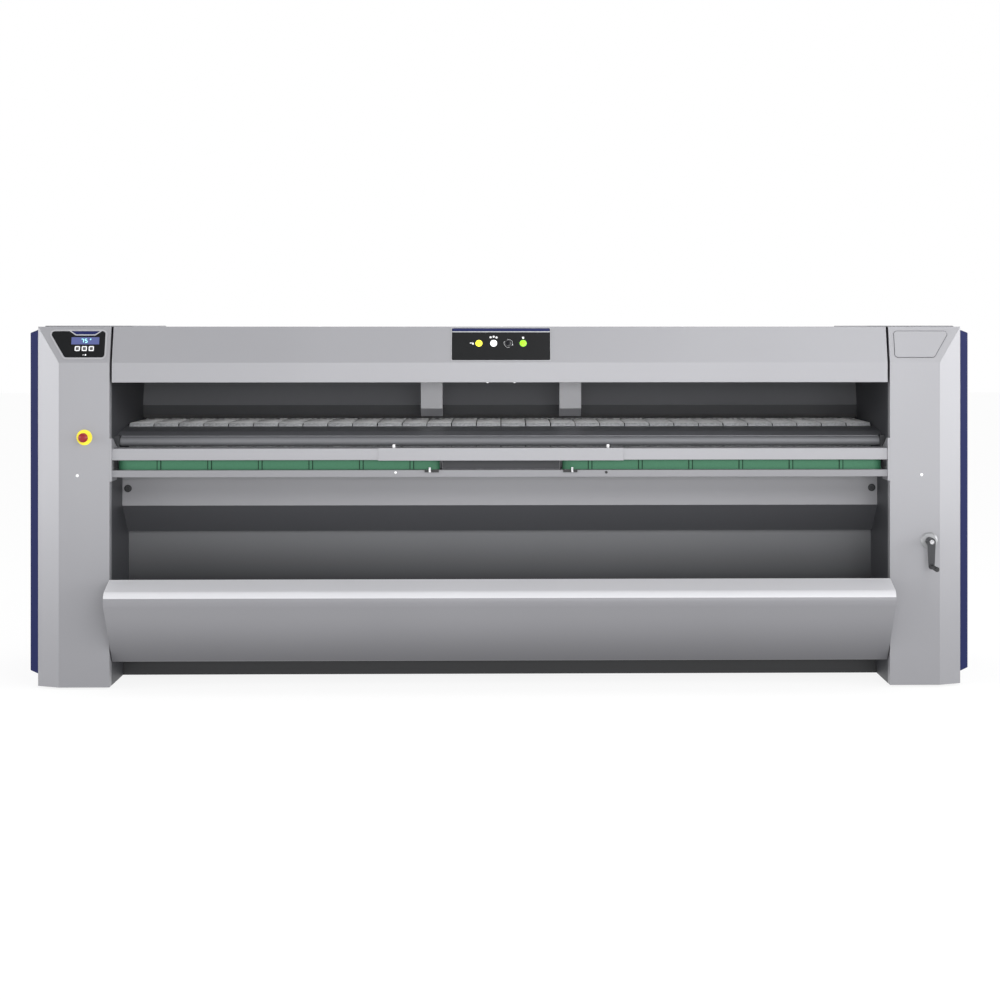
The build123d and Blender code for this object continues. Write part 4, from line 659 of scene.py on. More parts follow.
@dataclass
class Copies:
    """A Geometry Nodes tree that repeats one shape, and ends as a plain mesh."""

    finish: Finish
    layout: Repeat
    seed: int = 7

    def on_places(self, tree: Tree, given: bpy.types.NodeOutputs) -> dict[str, Socket]:
        """The given places, each turned to its own axis and spun at random about it."""
        places = add_node(tree, "GeometryNodeObjectInfo", {}, {"Object": given["Places"]}).outputs["Geometry"]
        axis = output(tree, "GeometryNodeInputNamedAttribute", {"data_type": "FLOAT_VECTOR", "Name": "axis"})
        spin = add_node(tree, "FunctionNodeRandomValue", {"data_type": "FLOAT", 2: 0.0, 3: math.tau},
                        {"Seed": given["Seed"]}).outputs[1]
        about = output(tree, "ShaderNodeCombineXYZ", {}, {2: spin})
        aligned = output(tree, "FunctionNodeAlignRotationToVector", {"axis": "Z"}, {"Vector": axis})
        facing = output(tree, "FunctionNodeRotateRotation", {"rotation_space": "LOCAL"},
                        {0: aligned, 1: about})
        return {"Points": places, "Rotation": facing}

    def in_a_row(self, tree: Tree, given: bpy.types.NodeOutputs) -> dict[str, Socket]:
        """Points at an even pitch, each astray by up to the sway."""
        step = output(tree, "ShaderNodeCombineXYZ", {}, {0: given["Pitch"]})
        row = output(tree, "GeometryNodeMeshLine", {"mode": "OFFSET"},
                     {"Count": given["Count"], "Offset": step})
        back = output(tree, "ShaderNodeMath", {"operation": "MULTIPLY", 1: -1.0}, {0: given["Sway"]})
        low, high = [output(tree, "ShaderNodeCombineXYZ", {}, {0: end}) for end in (back, given["Sway"])]
        sway = output(tree, "FunctionNodeRandomValue", {"data_type": "FLOAT_VECTOR"},
                      {0: low, 1: high, "Seed": given["Seed"]})
        return {"Points": output(tree, "GeometryNodeSetPosition", {}, {"Geometry": row, "Offset": sway})}

    def tree(self) -> Tree:
        """Builds the tree with its named inputs."""
        tree = bpy.data.node_groups.new(f"repeat_{self.finish.name}", "GeometryNodeTree")
        for label, kind in TREE_INPUTS.items():
            tree.interface.new_socket(label, in_out="INPUT", socket_type=f"NodeSocket{kind}")
        tree.interface.new_socket("Result", in_out="OUTPUT", socket_type="NodeSocketGeometry")
        given = add_node(tree, "NodeGroupInput").outputs
        lay_out = self.on_places if self.layout is Repeat.ON_PLACES else self.in_a_row
        links = {"Instance": given["Shape"], **lay_out(tree, given)}
        copies = output(tree, "GeometryNodeInstanceOnPoints", {}, links)
        real = output(tree, "GeometryNodeRealizeInstances", {}, {0: copies})
        coated = output(tree, "GeometryNodeSetMaterial", {"Material": self.finish.material()}, {0: real})
        add_node(tree, "NodeGroupOutput", {}, {0: coated})
        return tree

    def make(self, name: str, shape: Piece, places: Piece | None = None, count: int = 1, pitch: float = 0.0,
             sway: float = 0.0) -> Piece:
        """Repeats a shape and returns the copies as one mesh.

        Args:
            name: the new piece's name.
            shape: the shape, which is used up.
            places: points with an axis attribute, which are used up.
            count: copies in a row.
            pitch: distance between them, in mm.
            sway: how far each may stray along the row, in mm.

        Returns:
            The piece.
        """
        shape.name = name
        modifier = shape.modifiers.new("copies", "NODES")
        modifier.node_group = self.tree()
        wanted = {"Places": places, "Count": count, "Pitch": pitch * MM, "Sway": sway * MM, "Seed": self.seed}
        for item in modifier.node_group.interface.items_tree:
            if item.name in wanted and item.in_out == "INPUT":
                modifier[item.identifier] = wanted[item.name]
        bake(shape)
        if places:
            bpy.data.objects.remove(places)
        return shape


def places_at(spots: Spots) -> Piece:
    """Points in metres that carry the direction in which a fastener stands."""
    data = bpy.data.meshes.new("places")
    data.from_pydata([tuple(place) for place, _ in spots], [], [])
    axis = data.attributes.new("axis", "FLOAT_VECTOR", "POINT")
    axis.data.foreach_set("vector", [value for _, out in spots for value in out])
    return new_object("places", data)


def turned(name: str, profile: list[Point], count: int = 32) -> Piece:
    """A shape turned about the upright axis.

    Args:
        name: the piece's name.
        profile: (radius, height) in mm, from the axis at the foot to the axis at the top.
        count: faces around.

    Returns:
        The shape, standing on the origin.
    """
    points, faces, rings = [], [], []
    for radius, height in profile:
        if radius < TINY:
            rings.append([len(points)])
            points.append((0, 0, height * MM))
            continue
        rings.append(list(range(len(points), len(points) + count)))
        points += [(x * MM, y * MM, height * MM) for x, y in circle(0, 0, radius, count)]
    for low, high in zip(rings, rings[1:]):
        for i in range(count):
            j = (i + 1) % count
            corners = [low[i % len(low)], low[j % len(low)], high[j % len(high)], high[i % len(high)]]
            unique = list(dict.fromkeys(corners))
            if len(unique) > 2:
                faces.append(unique)
    return mesh_object(name, points, faces)


def put(piece: Piece, place: Vector, out: Vector) -> Piece:
    """Moves a shape's mesh so that its upright axis stands at a place and points out."""
    piece.data.transform(Matrix.Translation(place) @ out.to_track_quat("Z", "Y").to_matrix().to_4x4())
    return piece


class Head(Enum):
    """Screw heads: faces around, then (radius, height) from rim to middle as shares of the head's radius."""

    SMALL_PAN = (20, ((1, 0.2), (0.85, 0.45), (0.5, 0.6), (0.45, 0.35), (0, 0.3)))
    SOCKET = (24, ((1, 0.85), (0.9, 0.95), (0.5, 0.95), (0.48, 0.45), (0, 0.43)))
    WIDE_CAP = (28, ((1, 0.15), (0.9, 0.28), (0.55, 0.3), (0.5, 0.14), (0, 0.12)))


@dataclass
class Fasteners:
    """Screws and bolts of one kind on one body, standing on their seats or on stems."""

    name: str
    head: Head
    finish: Finish
    spots: Spots
    slot: str = "steel"
    body: str = "frame"
    size: float = 5.0
    stem: float = 0.0

    def build(self) -> None:
        """Places the heads and mounts them as one piece."""
        r, (count, shares) = self.size, self.head.value
        profile = [(0, -HEAD_ROOT), (r, -HEAD_ROOT)] + [(a * r, b * r + self.stem) for a, b in shares]
        copies = Copies(self.finish, Repeat.ON_PLACES)
        piece = copies.make(self.name, turned("head", profile, count), places_at(self.spots))
        mount(piece, self.finish, self.body, self.slot)


# ------------------------------------------------------------------ sub-assemblies
@dataclass
class Casing:
    """Painted covers: columns, side panels, hood, lids and rear cover, with their screws."""

    hood_screws: Triple = (-703.0, 0.0, 703.0)
    hood_screw_depth: float = 56.0
    lip_screws: Point = (-52.0, 52.0)
    lip_screw_depth: float = 9.0
    column_screw: Point = (1629.0, 823.0)
    column_screw_r: float = 6.0
    rear_screw_x: Triple = (1495.0, 1525.0, 1775.0)
    rear_screw_z: tuple[float, ...] = (60.0, 390.0, 720.0, 1050.0, 1370.0)
    screen: tuple[Point, Point, Point] = ((-1400.0, 1400.0), (984.0, 986.0), (165.0, 265.0))
    round_edge: float = 3.0

    def screws(self) -> None:
        """Screws of the hood, of the columns and of the rear sheets."""
        x, z = self.column_screw
        columns = [(spot(side * x, 0, z), FORWARD) for side in (-1, 1)]
        Fasteners("column_screws", Head.SMALL_PAN, WHITE_NYLON, columns, size=self.column_screw_r).build()
        top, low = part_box("top_cover")[1].z / MM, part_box("hood_cover")[0].z / MM
        hood = [(spot(x, self.hood_screw_depth, top), UP) for x in self.hood_screws]
        hood += [(spot(x, self.lip_screw_depth, low), -UP) for x in self.lip_screws]
        Fasteners("hood_screws", Head.SMALL_PAN, WHITE_NYLON, hood).build()
        rear = depth_of(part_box("rear_cover")[1].y)
        back = [(spot(side * x, rear, z), -FORWARD) for side in (-1, 1) for x in self.rear_screw_x
                for z in self.rear_screw_z]
        Fasteners("rear_screws", Head.SMALL_PAN, PLATED_STEEL, back).build()

    def build(self) -> None:
        """Dresses the covers and adds their screws and the screen behind the air slots."""
        mount(slab("air_screen", *self.screen), DARK_COAT, "frame", "dark_paint")
        for node in ("column_cover_left", "column_cover_right", "hood_cover"):
            softened(node, GREY_COAT, "grey_paint", self.round_edge)
        for node in ("top_cover", "end_lids", "rear_cover"):
            softened(node, GREY_COAT, "grey_paint", 0.0)
        for node in ("side_panel_left", "side_panel_right"):
            softened(node, BLUE_COAT, "blue_paint", self.round_edge)
        self.screws()


@dataclass
class FeltLanes:
    """Felt belts round the front, nip and take-off rollers and against the heated cylinder; sizes in mm."""

    count: int = 30
    pitch: float = 100.0
    width: float = 96.0
    thickness: float = 3.0
    gap: float = 0.3
    sway: float = 0.6
    arc_step: float = 6.0
    edge: float = 1.0
    hook: Triple = (11.0, 8.0, 2.6)
    hook_pitch: float = 25.0
    hook_sway: float = 7.0
    hook_depth: float = 846.0

    def wheels(self) -> list[tuple[float, float, float, int]]:
        """Centre, radius and side of each roller that a belt touches, in metres, in the belt's order."""
        found = []
        for node, side in (("front_roller", 1), ("take_off_roller", 1), ("drum", -1), ("nip_roller", 1)):
            low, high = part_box(node)
            centre = node_centre(node)
            found.append((centre.y, centre.z, (high.z - low.z) / 2, side))
        return found

    def loop(self, shift: float) -> list[Point]:
        """The belt's closed line: arcs round its rollers, joined by their common tangents.

        Args:
            shift: distance outside the rollers inside the loop, in metres.

        Returns:
            Points (y, z) in metres.
        """
        inner, lift = self.thickness * MM, self.gap * MM
        signed = [(y, z, r + lift + shift if side > 0 else -(r + lift + inner) + shift)
                  for y, z, r, side in self.wheels()]
        leaves = []
        for (ay, az, ar), (by, bz, br) in zip(signed, signed[1:] + signed[:1]):
            slope = max(-1.0, min(1.0, (br - ar) / math.hypot(by - ay, bz - az)))
            leaves.append(math.atan2(bz - az, by - ay) - math.asin(slope))
        points = []
        for index, (y, z, r) in enumerate(signed):
            start = leaves[index - 1] - math.pi / 2
            sweep = (leaves[index] - leaves[index - 1]) % math.tau
            sweep = sweep if r > 0 else sweep - math.tau
            steps = max(1, math.ceil(abs(math.degrees(sweep)) / self.arc_step))
            points += [polar(y, z, r, start + sweep * k / steps) for k in range(steps + 1)]
        return points

    def lane(self) -> Piece:
        """One belt, its long edges worn round."""
        outer, inner = self.loop(self.thickness * MM), self.loop(0.0)
        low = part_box("ironing_belts")[0].x
        worn, high = self.edge * MM, low + self.width * MM
        rows = [(low, inner, 0.0), (low, outer, 1.0), (low + worn, outer, 0.0), (high - worn, outer, 0.0),
                (high, outer, 1.0), (high, inner, 0.0)]
        points = []
        for x, line, droop in rows:
            share = droop * self.edge / self.thickness
            points += [(x, y + (iy - y) * share, z + (iz - z) * share)
                       for (y, z), (iy, iz) in zip(line, inner)]
        count, faces = len(outer), []
        for near in range(len(rows)):
            far = (near + 1) % len(rows)
            for i in range(count):
                j = (i + 1) % count
                faces.append([near * count + i, near * count + j, far * count + j, far * count + i])
        return mesh_object("lane", points, faces, smooth=True)

    def lacing(self) -> None:
        """The bright wire hooks that close the belts, in a row in front of the guard."""
        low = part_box("ironing_belts")[0]
        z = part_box("nip_roller")[1].z + (self.gap + self.thickness) * MM
        x, y = low.x + self.hook_pitch / 2 * MM, FRONT_Y + self.hook_depth * MM
        wide, deep, tall = [size * MM for size in self.hook]
        corners = [(x + a * wide, y + b * deep, z + c * tall)
                   for a in (0, 1) for b in (-0.5, 0.5) for c in (-0.5, 1)]
        count = int(self.count * self.pitch / self.hook_pitch)
        row = Copies(LACING_WIRE, Repeat.IN_A_ROW, seed=5)
        piece = row.make("belt_lacing", mesh_object("hook", corners, BLOCK_FACES), count=count,
                         pitch=self.hook_pitch, sway=self.hook_sway)
        mount(piece, LACING_WIRE, "frame", "steel")

    def build(self) -> None:
        """Repeats the belt across the machine."""
        row = Copies(GREY_FELT, Repeat.IN_A_ROW, seed=3)
        piece = row.make("felt_lanes", self.lane(), count=self.count, pitch=self.pitch, sway=self.sway)
        mount(piece, GREY_FELT, "frame", "felt", "ironing_belts")
        self.lacing()


@dataclass
class IndicatorHead:
    """The lamp plate in the middle of the hood: a dark foil with a blue band, four lamps and plain marks."""

    half: float = 190.0
    low: float = 10.0
    high: float = 139.0
    lamps: tuple[float, ...] = (-85.5, -28.5, 28.5, 85.5)
    lamp_along: float = 77.0
    lamp_r: float = 13.0
    band: Point = (127.3, 138.0)
    band_inset: float = 2.0
    line: Point = (122.4, 125.8)
    line_inset: float = 0.6
    rim: Point = (3.0, 0.2)
    rim_rise: float = 1.0
    hook: tuple[Point, ...] = ((-35, 0), (-26, 0), (-26, -5), (-20, -5), (-20, 3), (-35, 3))
    dots: tuple[tuple[int, float, float, float], ...] = (
        (1, -12, 25, 4.2), (1, 0, 27, 4.2), (1, 11, 24, 4.2), (3, 0, 23, 4.6))
    arrow_lamp: int = 2
    arrow_starts: Point = (math.radians(110), math.radians(290))
    arrow_sweep: float = math.radians(-125)
    arrow_tip: float = math.radians(24)
    arrow_steps: int = 12
    arrow_r: float = 15.5
    arrow_half: float = 1.3
    arrow_head: float = 4.0
    arrow_above: float = 0.2

    def strip(self, name: str, finish: Finish, along: Point, inset: float) -> None:
        """A printed band across the plate."""
        outline = rectangle(span(0, self.half - inset), along)
        mount(printed(name, outline), finish, "frame", "black_plate")

    def lamp(self, x: float, name: str, finish: Finish) -> None:
        """One domed lens in its dark collar."""
        r, place = self.lamp_r, HEAD.at(x, self.lamp_along, PANEL_PROUD)
        dome = [(0, 0), (r, 0), (r, 2.2), (0.93 * r, 3.2), (0.7 * r, 3.7), (0.35 * r, 3.95), (0, 4)]
        lens = put(turned(name, dome, LENS_FACES), place, HEAD_OUT)
        for face in lens.data.polygons:
            face.use_smooth = True
        mount(lens, finish, "frame", "lens")
        rim = [(0, -SEAT), (r + 3, -SEAT), (r + 3, 0.9), (r + 2.2, 1.4), (r + 0.4, 1.4), (r + 0.2, 0.2),
               (0, 0.2)]
        collar = put(turned(f"{name}_collar", rim, LENS_FACES), place, HEAD_OUT)
        mount(collar, BLACK_ABS, "frame", "black_plate")

    def arrow(self, start: float) -> Piece:
        """Half of a turning sign round a lamp, ending in an arrow head."""
        x, along, r = self.lamps[self.arrow_lamp], self.lamp_along, self.arrow_r
        turns = [start + self.arrow_sweep * i / self.arrow_steps for i in range(self.arrow_steps + 1)]
        outer = [polar(x, along, r + self.arrow_half, turn) for turn in turns]
        inner = [polar(x, along, r - self.arrow_half, turn) for turn in reversed(turns)]
        end = turns[-1]
        head = [polar(x, along, r + self.arrow_head, end), polar(x, along, r, end - self.arrow_tip),
                polar(x, along, r - self.arrow_head, end)]
        return printed("arrow", outer + head + inner, self.arrow_above)

    def marks(self) -> None:
        """Plain marks by the lamps: a hook, three dots, one dot and a pair of turning arrows."""
        at = self.lamp_along
        pieces = [printed("hook", [(self.lamps[0] + dx, at + dy) for dx, dy in self.hook])]
        pieces += [printed("dot", circle(self.lamps[lamp] + dx, at + dy, r, DOT_FACES))
                   for lamp, dx, dy, r in self.dots]
        pieces += [self.arrow(start) for start in self.arrow_starts]
        mount(join("lamp_marks", pieces), WHITE_PRINT, "frame", "black_plate")

    def build(self) -> None:
        """Dresses the plate and adds band, line, lamps and marks."""
        softened("indicator_panel", BLACK_FOIL, "black_plate", 1.0, 0.6)
        self.strip("indicator_band", BLUE_FOIL, self.band, self.band_inset)
        self.strip("indicator_line", SILVER_PRINT, self.line, self.line_inset)
        outer, inner = [rounded(rectangle(span(0, self.half + r), (self.low - r, self.high + r)), 1.0 + r)
                        for r in self.rim]
        ring = slope_ring("indicator_rim", outer, inner, -SEAT, self.rim_rise)
        # the rim is the lighter copy of the grey paint, a painted highlight along the plate's edge
        mount(ring, HIGHLIGHT_GREY_COAT, "frame", "grey_paint")
        names = ("lamp_yellow", "lamp_white", "lamp_dark", "lamp_green")
        for x, name, finish in zip(self.lamps, names, (YELLOW_LENS, WHITE_LENS, DARK_LENS, GREEN_LENS)):
            self.lamp(x, name, finish)
        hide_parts("indicator_lamps")
        self.marks()


@dataclass
class DisplayHead:
    """The control plate on the left head: display, three keys, small lamp and a blue field along its top."""

    middle: float = -1602.5
    field_top: float = 126.8
    field_low: float = 113.5
    field_half_top: float = 56.0
    field_half_low: float = 36.0
    line_w: float = 4.0
    line_slant: float = 6.0
    line_above: float = 0.1
    keys: Triple = (-26.8, 0.0, 26.8)
    key_nodes: tuple[str, ...] = ("panel_key_left", "panel_key_middle", "panel_key_right")
    key_middle: float = -1604.5
    key_along: float = 56.0
    ring_sizes: tuple[Point, Point] = ((9.9, 4.0), (6.0, 1.5))
    lamp: Point = (-1599.0, 31.0)
    dots: tuple[Point, ...] = ((0.0, 2.6), (9.0, 1.4))
    dot_above: float = 0.2
    reading: tuple[str, ...] = ("abc", "acdfg")
    digit: Point = (8.0, 14.0)
    digits_left: float = -11.0
    digit_gap: float = 6.0
    bar_half: float = 1.1
    bar_gap: float = 0.8
    degree: Point = (20.0, 6.0)
    degree_rings: Point = (2.8, 1.5)
    window_along: float = 88.0
    on_window: Point = (2.2, 2.75)
    corners: tuple[Point, ...] = ((1527.0, 21.5), (1679.0, 21.5), (1742.0, 127.0), (1527.0, 127.0))
    corner_r: float = 12.0
    border_rise: float = 1.2

    def field(self) -> None:
        """The blue field and the silver line that runs under it."""
        x, a, b = self.middle, self.field_half_top, self.field_half_low
        top, low, w, slant = self.field_top, self.field_low, self.line_w, self.line_slant
        blue = [(x - a, top), (x - b, low), (x + b, low), (x + a, top)]
        mount(printed("display_field", blue), BLUE_FOIL, "frame", "black_plate")
        line = [(x - a - slant, top), (x - b - w / 2, low - w), (x + b + w / 2, low - w),
                (x + a + slant, top), *reversed(blue)]
        mount(printed("display_line", line, self.line_above), SILVER_PRINT, "frame", "black_plate")

    def segment(self, x: float, along: float, upright: bool) -> Piece:
        """One bar of a seven-segment digit."""
        wide, tall = self.digit
        long = (tall / 2 if upright else wide) - self.bar_gap
        across, up = (self.bar_half, long / 2) if upright else (long / 2, self.bar_half)
        return slope_plate("segment", rectangle(span(x, across), span(along, up)), *self.on_window)

    def digits(self) -> None:
        """A generic temperature reading in bright bars on the display."""
        wide, tall = self.digit
        bars = {"a": (0, tall / 2), "b": (wide / 2, tall / 4), "c": (wide / 2, -tall / 4),
                "d": (0, -tall / 2), "f": (-wide / 2, tall / 4), "g": (0, 0)}
        pieces = []
        for number, lit in enumerate(self.reading):
            left = self.middle + self.digits_left + number * (wide + self.digit_gap)
            for dx, dy in (bars[key] for key in lit):
                pieces.append(self.segment(left + dx, self.window_along + dy, dx != 0))
        dx, dy = self.degree
        ring = [circle(self.middle + dx, self.window_along + dy, r, 20) for r in self.degree_rings]
        pieces.append(slope_ring("degree", *ring, *self.on_window))
        mount(join("display_digits", pieces), CYAN_DIGITS, "frame", "window")

    def key_rings(self) -> None:
        """A light rounded outline printed on each key, which moves with it."""
        for dx, key in zip(self.keys, self.key_nodes):
            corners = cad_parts[key].data.vertices
            face = max((corner.co - HEAD.at(0, 0, 0)).dot(HEAD_OUT) for corner in corners) / MM
            x, along = self.key_middle + dx, self.key_along
            rings = [rounded(rectangle(span(x, half), span(along, half)), r) for half, r in self.ring_sizes]
            ring = slope_ring(f"{key}_ring", *rings, *span(face, PRINT_T))
            mount(ring, WHITE_PRINT, key, "black_plate")

    def border(self, name: str, side: int, finish: Finish, distances: Point) -> None:
        """A raised line round one of the two tapered plates.

        Args:
            name: the piece's name.
            side: -1 for the left plate and 1 for the right one.
            finish: its surface.
            distances: how far its outer and inner edges lie outside the plate, in mm.
        """
        corners = [(side * x, along) for x, along in self.corners][::side]
        outer, inner = [rounded(grown(corners, away), self.corner_r + away) for away in distances]
        mount(slope_ring(name, outer, inner, -SEAT, self.border_rise), finish, "frame", "grey_paint")

    def build(self) -> None:
        """Dresses plate, window and keys, and adds the prints."""
        softened("display_panel", BLACK_FOIL, "black_plate", 0.0, 0.6)
        dress(BLUE_DISPLAY, "display_window")
        dress(BLACK_RUBBER, *self.key_nodes)
        self.field()
        self.digits()
        self.key_rings()
        x, along = self.lamp
        dots = [printed("dot", circle(x - away, along, r, DOT_FACES), self.dot_above)
                for away, r in self.dots]
        mount(join("display_lamp", dots), WHITE_LENS, "frame", "black_plate")
        # the ring round the display plate is the lighter copy of the grey paint, a painted highlight along its
        # edge
        self.border("display_border", -1, HIGHLIGHT_GREY_COAT, (7.0, 0.6))
        softened("blank_panel", GREY_COAT, "grey_paint", 0.0)
        self.border("blank_border", 1, DARK_COAT, (1.8, 0.3))


@dataclass
class SpreaderBeam:
    """The beam in front of the feed table with its rail, green cleated belts, brackets and screws."""

    cover_t: float = 1.2
    clip: Point = (414.0, 22.0)
    clip_r: float = 5.5
    clip_stem: float = 8.0
    screw: Point = (407.0, 833.0)
    anchor_x: Point = (240.0, 295.0)
    anchor_t: float = 5.0
    anchor_z: Point = (833.5, 844.5)
    bolt_x: float = 275.0
    bolt_r: float = 4.5
    bolt_z: Point = (834.0, 853.0)
    gap_x: float = 227.0
    gap_depth: Point = (6.5, 5.2)
    gap_z: Point = (843.0, 880.0)
    cleat_x: float = 345.0
    cleat_pitch: float = 195.0
    cleat_count: int = 6
    cleat_h: float = 3.0
    shade_band: Point = (5.0, 9.0)
    shade_band_t: float = 0.6

    def anchors(self) -> None:
        """The dark anchor of each inner pulley's pin, on the rail, with its bright bolt."""
        front = front_of("spreader_rail")
        bolt_depth = front - (self.anchor_t + self.bolt_r) / 2
        low, high = self.bolt_z
        profile = [(0, 0), (self.bolt_r, 0), (self.bolt_r, high - low), (0, high - low)]
        plates, bolts = [], []
        for side in (-1, 1):
            x = sorted(side * x for x in self.anchor_x)
            plates.append(slab("plate", x, (front - self.anchor_t, front + SEAT), self.anchor_z))
            bolts.append(put(turned("bolt", profile, 16), spot(side * self.bolt_x, bolt_depth, low), UP))
        mount(join("pulley_anchors", plates), BLACK_ABS, "frame", "black_cast")
        mount(join("pulley_anchor_bolts", bolts), PLATED_STEEL, "frame", "steel")

    def shaded_cleat_feet(self, side: int, name: str) -> None:
        """The painted shade at the foot of every cleat on the front run of one green belt."""
        node = f"spreader_belt_{name}"
        z = [end.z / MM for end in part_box(node)]
        depth = front_of(node) + self.cleat_h
        feet = []
        for shade_band in (self.shade_band, [-edge for edge in self.shade_band]):
            x = sorted(self.cleat_x * side + edge for edge in shade_band)
            feet.append(slab("foot", x, (depth - self.shade_band_t, depth + SEAT), z))
        piece = Copies(SHADED_GREEN_RUBBER, Repeat.IN_A_ROW).make(
            f"cleat_feet_{name}", join("feet", feet), count=self.cleat_count, pitch=side * self.cleat_pitch)
        mount(piece, SHADED_GREEN_RUBBER, "frame", "green_belt")

    def build(self) -> None:
        """Dresses the beam and adds its screws, anchors and the cleats' feet."""
        softened("beam_cover", GREY_COAT, "grey_paint")
        # the rail in the darker copy of the silver coat, painted shade
        softened("spreader_rail", SHADED_GREY_COAT, "grey_paint")
        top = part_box("beam_cover")[1].z + self.cover_t * MM
        cover = softened("beam_centre_cover", GREY_COAT, "grey_paint", 0.0)
        for corner in cover.data.vertices:
            corner.co.z = min(corner.co.z, top)
        dress(GREY_COAT, "beam_brackets")
        dress(GREEN_RUBBER, "spreader_belt_left", "spreader_belt_right")
        dress(CAST_ALUMINIUM, *(f"spreader_pulley_{side}_{end}" for side in ("left", "right")
                                for end in ("outer", "inner")))
        dress(SATIN_STEEL, "guide_roller")
        dress(TABLE_COAT, "feed_table")
        x, depth = self.clip
        clips = [(spot(side * x, depth, top / MM), UP) for side in (-1, 1)]
        clip = Fasteners("beam_clips", Head.SOCKET, WHITE_NYLON, clips, size=self.clip_r, stem=self.clip_stem)
        clip.build()
        x, z = self.screw
        for side, finish, name in ((-1, WHITE_NYLON, "rail_screw_left"), (1, BLACK_ABS, "rail_screw_right")):
            place = [(spot(side * x, front_of("spreader_rail"), z), FORWARD)]
            Fasteners(name, Head.SMALL_PAN, finish, place).build()
        axis = depth_of(node_centre("spreader_pulley_left_inner").y)
        depth = [axis - ahead for ahead in self.gap_depth]
        plate = slab("belt_gap_plate", span(0, self.gap_x), depth, self.gap_z)
        mount(plate, DARK_COAT, "frame", "dark_paint")
        self.anchors()
        self.shaded_cleat_feet(-1, "left")
        self.shaded_cleat_feet(1, "right")


@dataclass
class LowerFront:
    """Apron, chute, collecting trough, plinth, guard and the brackets under the hood."""

    bolt: Point = (1484.0, 752.0)
    bolt_r: float = 15.0
    support_x: Point = (1422.0, 1450.0)
    support_z: Point = (62.0, 98.0)
    support_t: float = 22.0
    trough_round: float = 4.0
    wiper_inset: float = 2.0
    wiper_depth: Point = (855.0, 859.0)
    wiper_z: Point = (1012.0, 1024.0)
    lip: float = 0.3  # normals that rise more than this are the trough's lip, which gets the painted highlight
    under: float = -0.35  # normals that drop more than this are the apron's underside, which gets the painted shade
    upright: float = 0.1  # normals that tilt less than this are the guard's upright part, which gets the dark grey as painted shade

    def supports(self) -> None:
        """Small dark brackets between the plinth and the trough's floor."""
        front = front_of("plinth")
        blocks = [slab("support", sorted(side * x for x in self.support_x), (front - self.support_t, front),
                       self.support_z) for side in (-1, 1)]
        mount(join("trough_supports", blocks), BLACK_IRON, "frame", "black_cast")

    def build(self) -> None:
        """Dresses the sheets and adds the apron's bolts, the guard's wiper and the trough's supports."""
        # the hood's brackets in the lighter copy of the grey paint, a painted highlight on their edges
        softened("hood_brackets", HIGHLIGHT_GREY_COAT, "grey_paint")
        # the trough and its ends in the darker copy of the silver coat, painted shade, darker still towards
        # the floor
        softened("trough_ends", SHADED_GREY_COAT, "grey_paint")
        trough = softened("trough", SHADED_GREY_COAT, "grey_paint", self.trough_round)
        # the trough's upward faces get the lighter lip coat as a painted highlight
        painted_light_by_facing(trough, LIT_LIP_COAT, lambda normal: normal.z > self.lip)
        # the apron's downward faces get the darker coat as painted shade
        painted_light_by_facing(softened("apron", GREY_COAT, "grey_paint"), SHADED_UNDER_COAT, lambda normal: normal.z < self.under)
        # the chute's sheet darkens towards its foot as painted shade
        dress(CHUTE_COAT, "chute_plate")
        dress(PLINTH_COAT, "plinth")
        # the guard's slanted faces are lightened as painted light, its upright faces darkened as painted shade
        guard = softened("belt_guard", LIT_GUARD_COAT, "dark_paint")
        painted_light_by_facing(guard, DARK_COAT, lambda normal: abs(normal.z) < self.upright)
        x, z = self.bolt
        spots = [(spot(side * x, front_of("apron"), z), FORWARD) for side in (-1, 1)]
        Fasteners("apron_bolts", Head.WIDE_CAP, BLACK_IRON, spots, "black_cast", size=self.bolt_r).build()
        low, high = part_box("belt_guard")
        x = (low.x / MM + self.wiper_inset, high.x / MM - self.wiper_inset)
        mount(slab("guard_wiper", x, self.wiper_depth, self.wiper_z), BLACK_RUBBER, "frame", "black_cast")
        self.supports()


class Works:
    """Rollers, cylinder, drive and exhaust, which show through the openings and from behind."""

    def build(self) -> None:
        """Dresses the carried-over nodes."""
        dress(DARK_COAT, "side_frame_left", "side_frame_right", "base_frame")
        dress(PLATED_STEEL, "levelling_feet")
        dress(ZINC_SHEET, "belt_bed", "heating_elements", "fan_housing", "fan_impeller")
        dress(BRIGHT_STEEL, "front_roller", "nip_roller", "take_off_roller", "drum")
        dress(BLACK_IRON, "drum_pulley", "bearing_blocks")
        dress(CAST_ALUMINIUM, "motor_pulley", "gearmotor")
        dress(BLACK_RUBBER, "drive_belt")
        dress(GREY_COAT, "control_box")
        dress(BLACK_ABS, "cable_gland")


@dataclass
class HandControls:
    """The stop button and the hand crank."""

    crank: Point = (1658.0, 567.0)
    arm_face: float = 58.0
    cap_size: float = 9.0

    def build(self) -> None:
        """Dresses the controls and adds the crank's cap screw."""
        dress(YELLOW_ABS, "estop_base")
        dress(RED_ABS, "estop_button")
        dress(CAST_ALUMINIUM, "crank_bezel")
        dress(BLACK_IRON, "hand_crank")
        dress(BLACK_ABS, "crank_grip")
        x, z = self.crank
        cap = [(spot(x, -self.arm_face, z), FORWARD)]
        screw = Fasteners("crank_cap_screw", Head.SOCKET, PLATED_STEEL, cap, body="hand_crank")
        screw.size = self.cap_size
        screw.build()


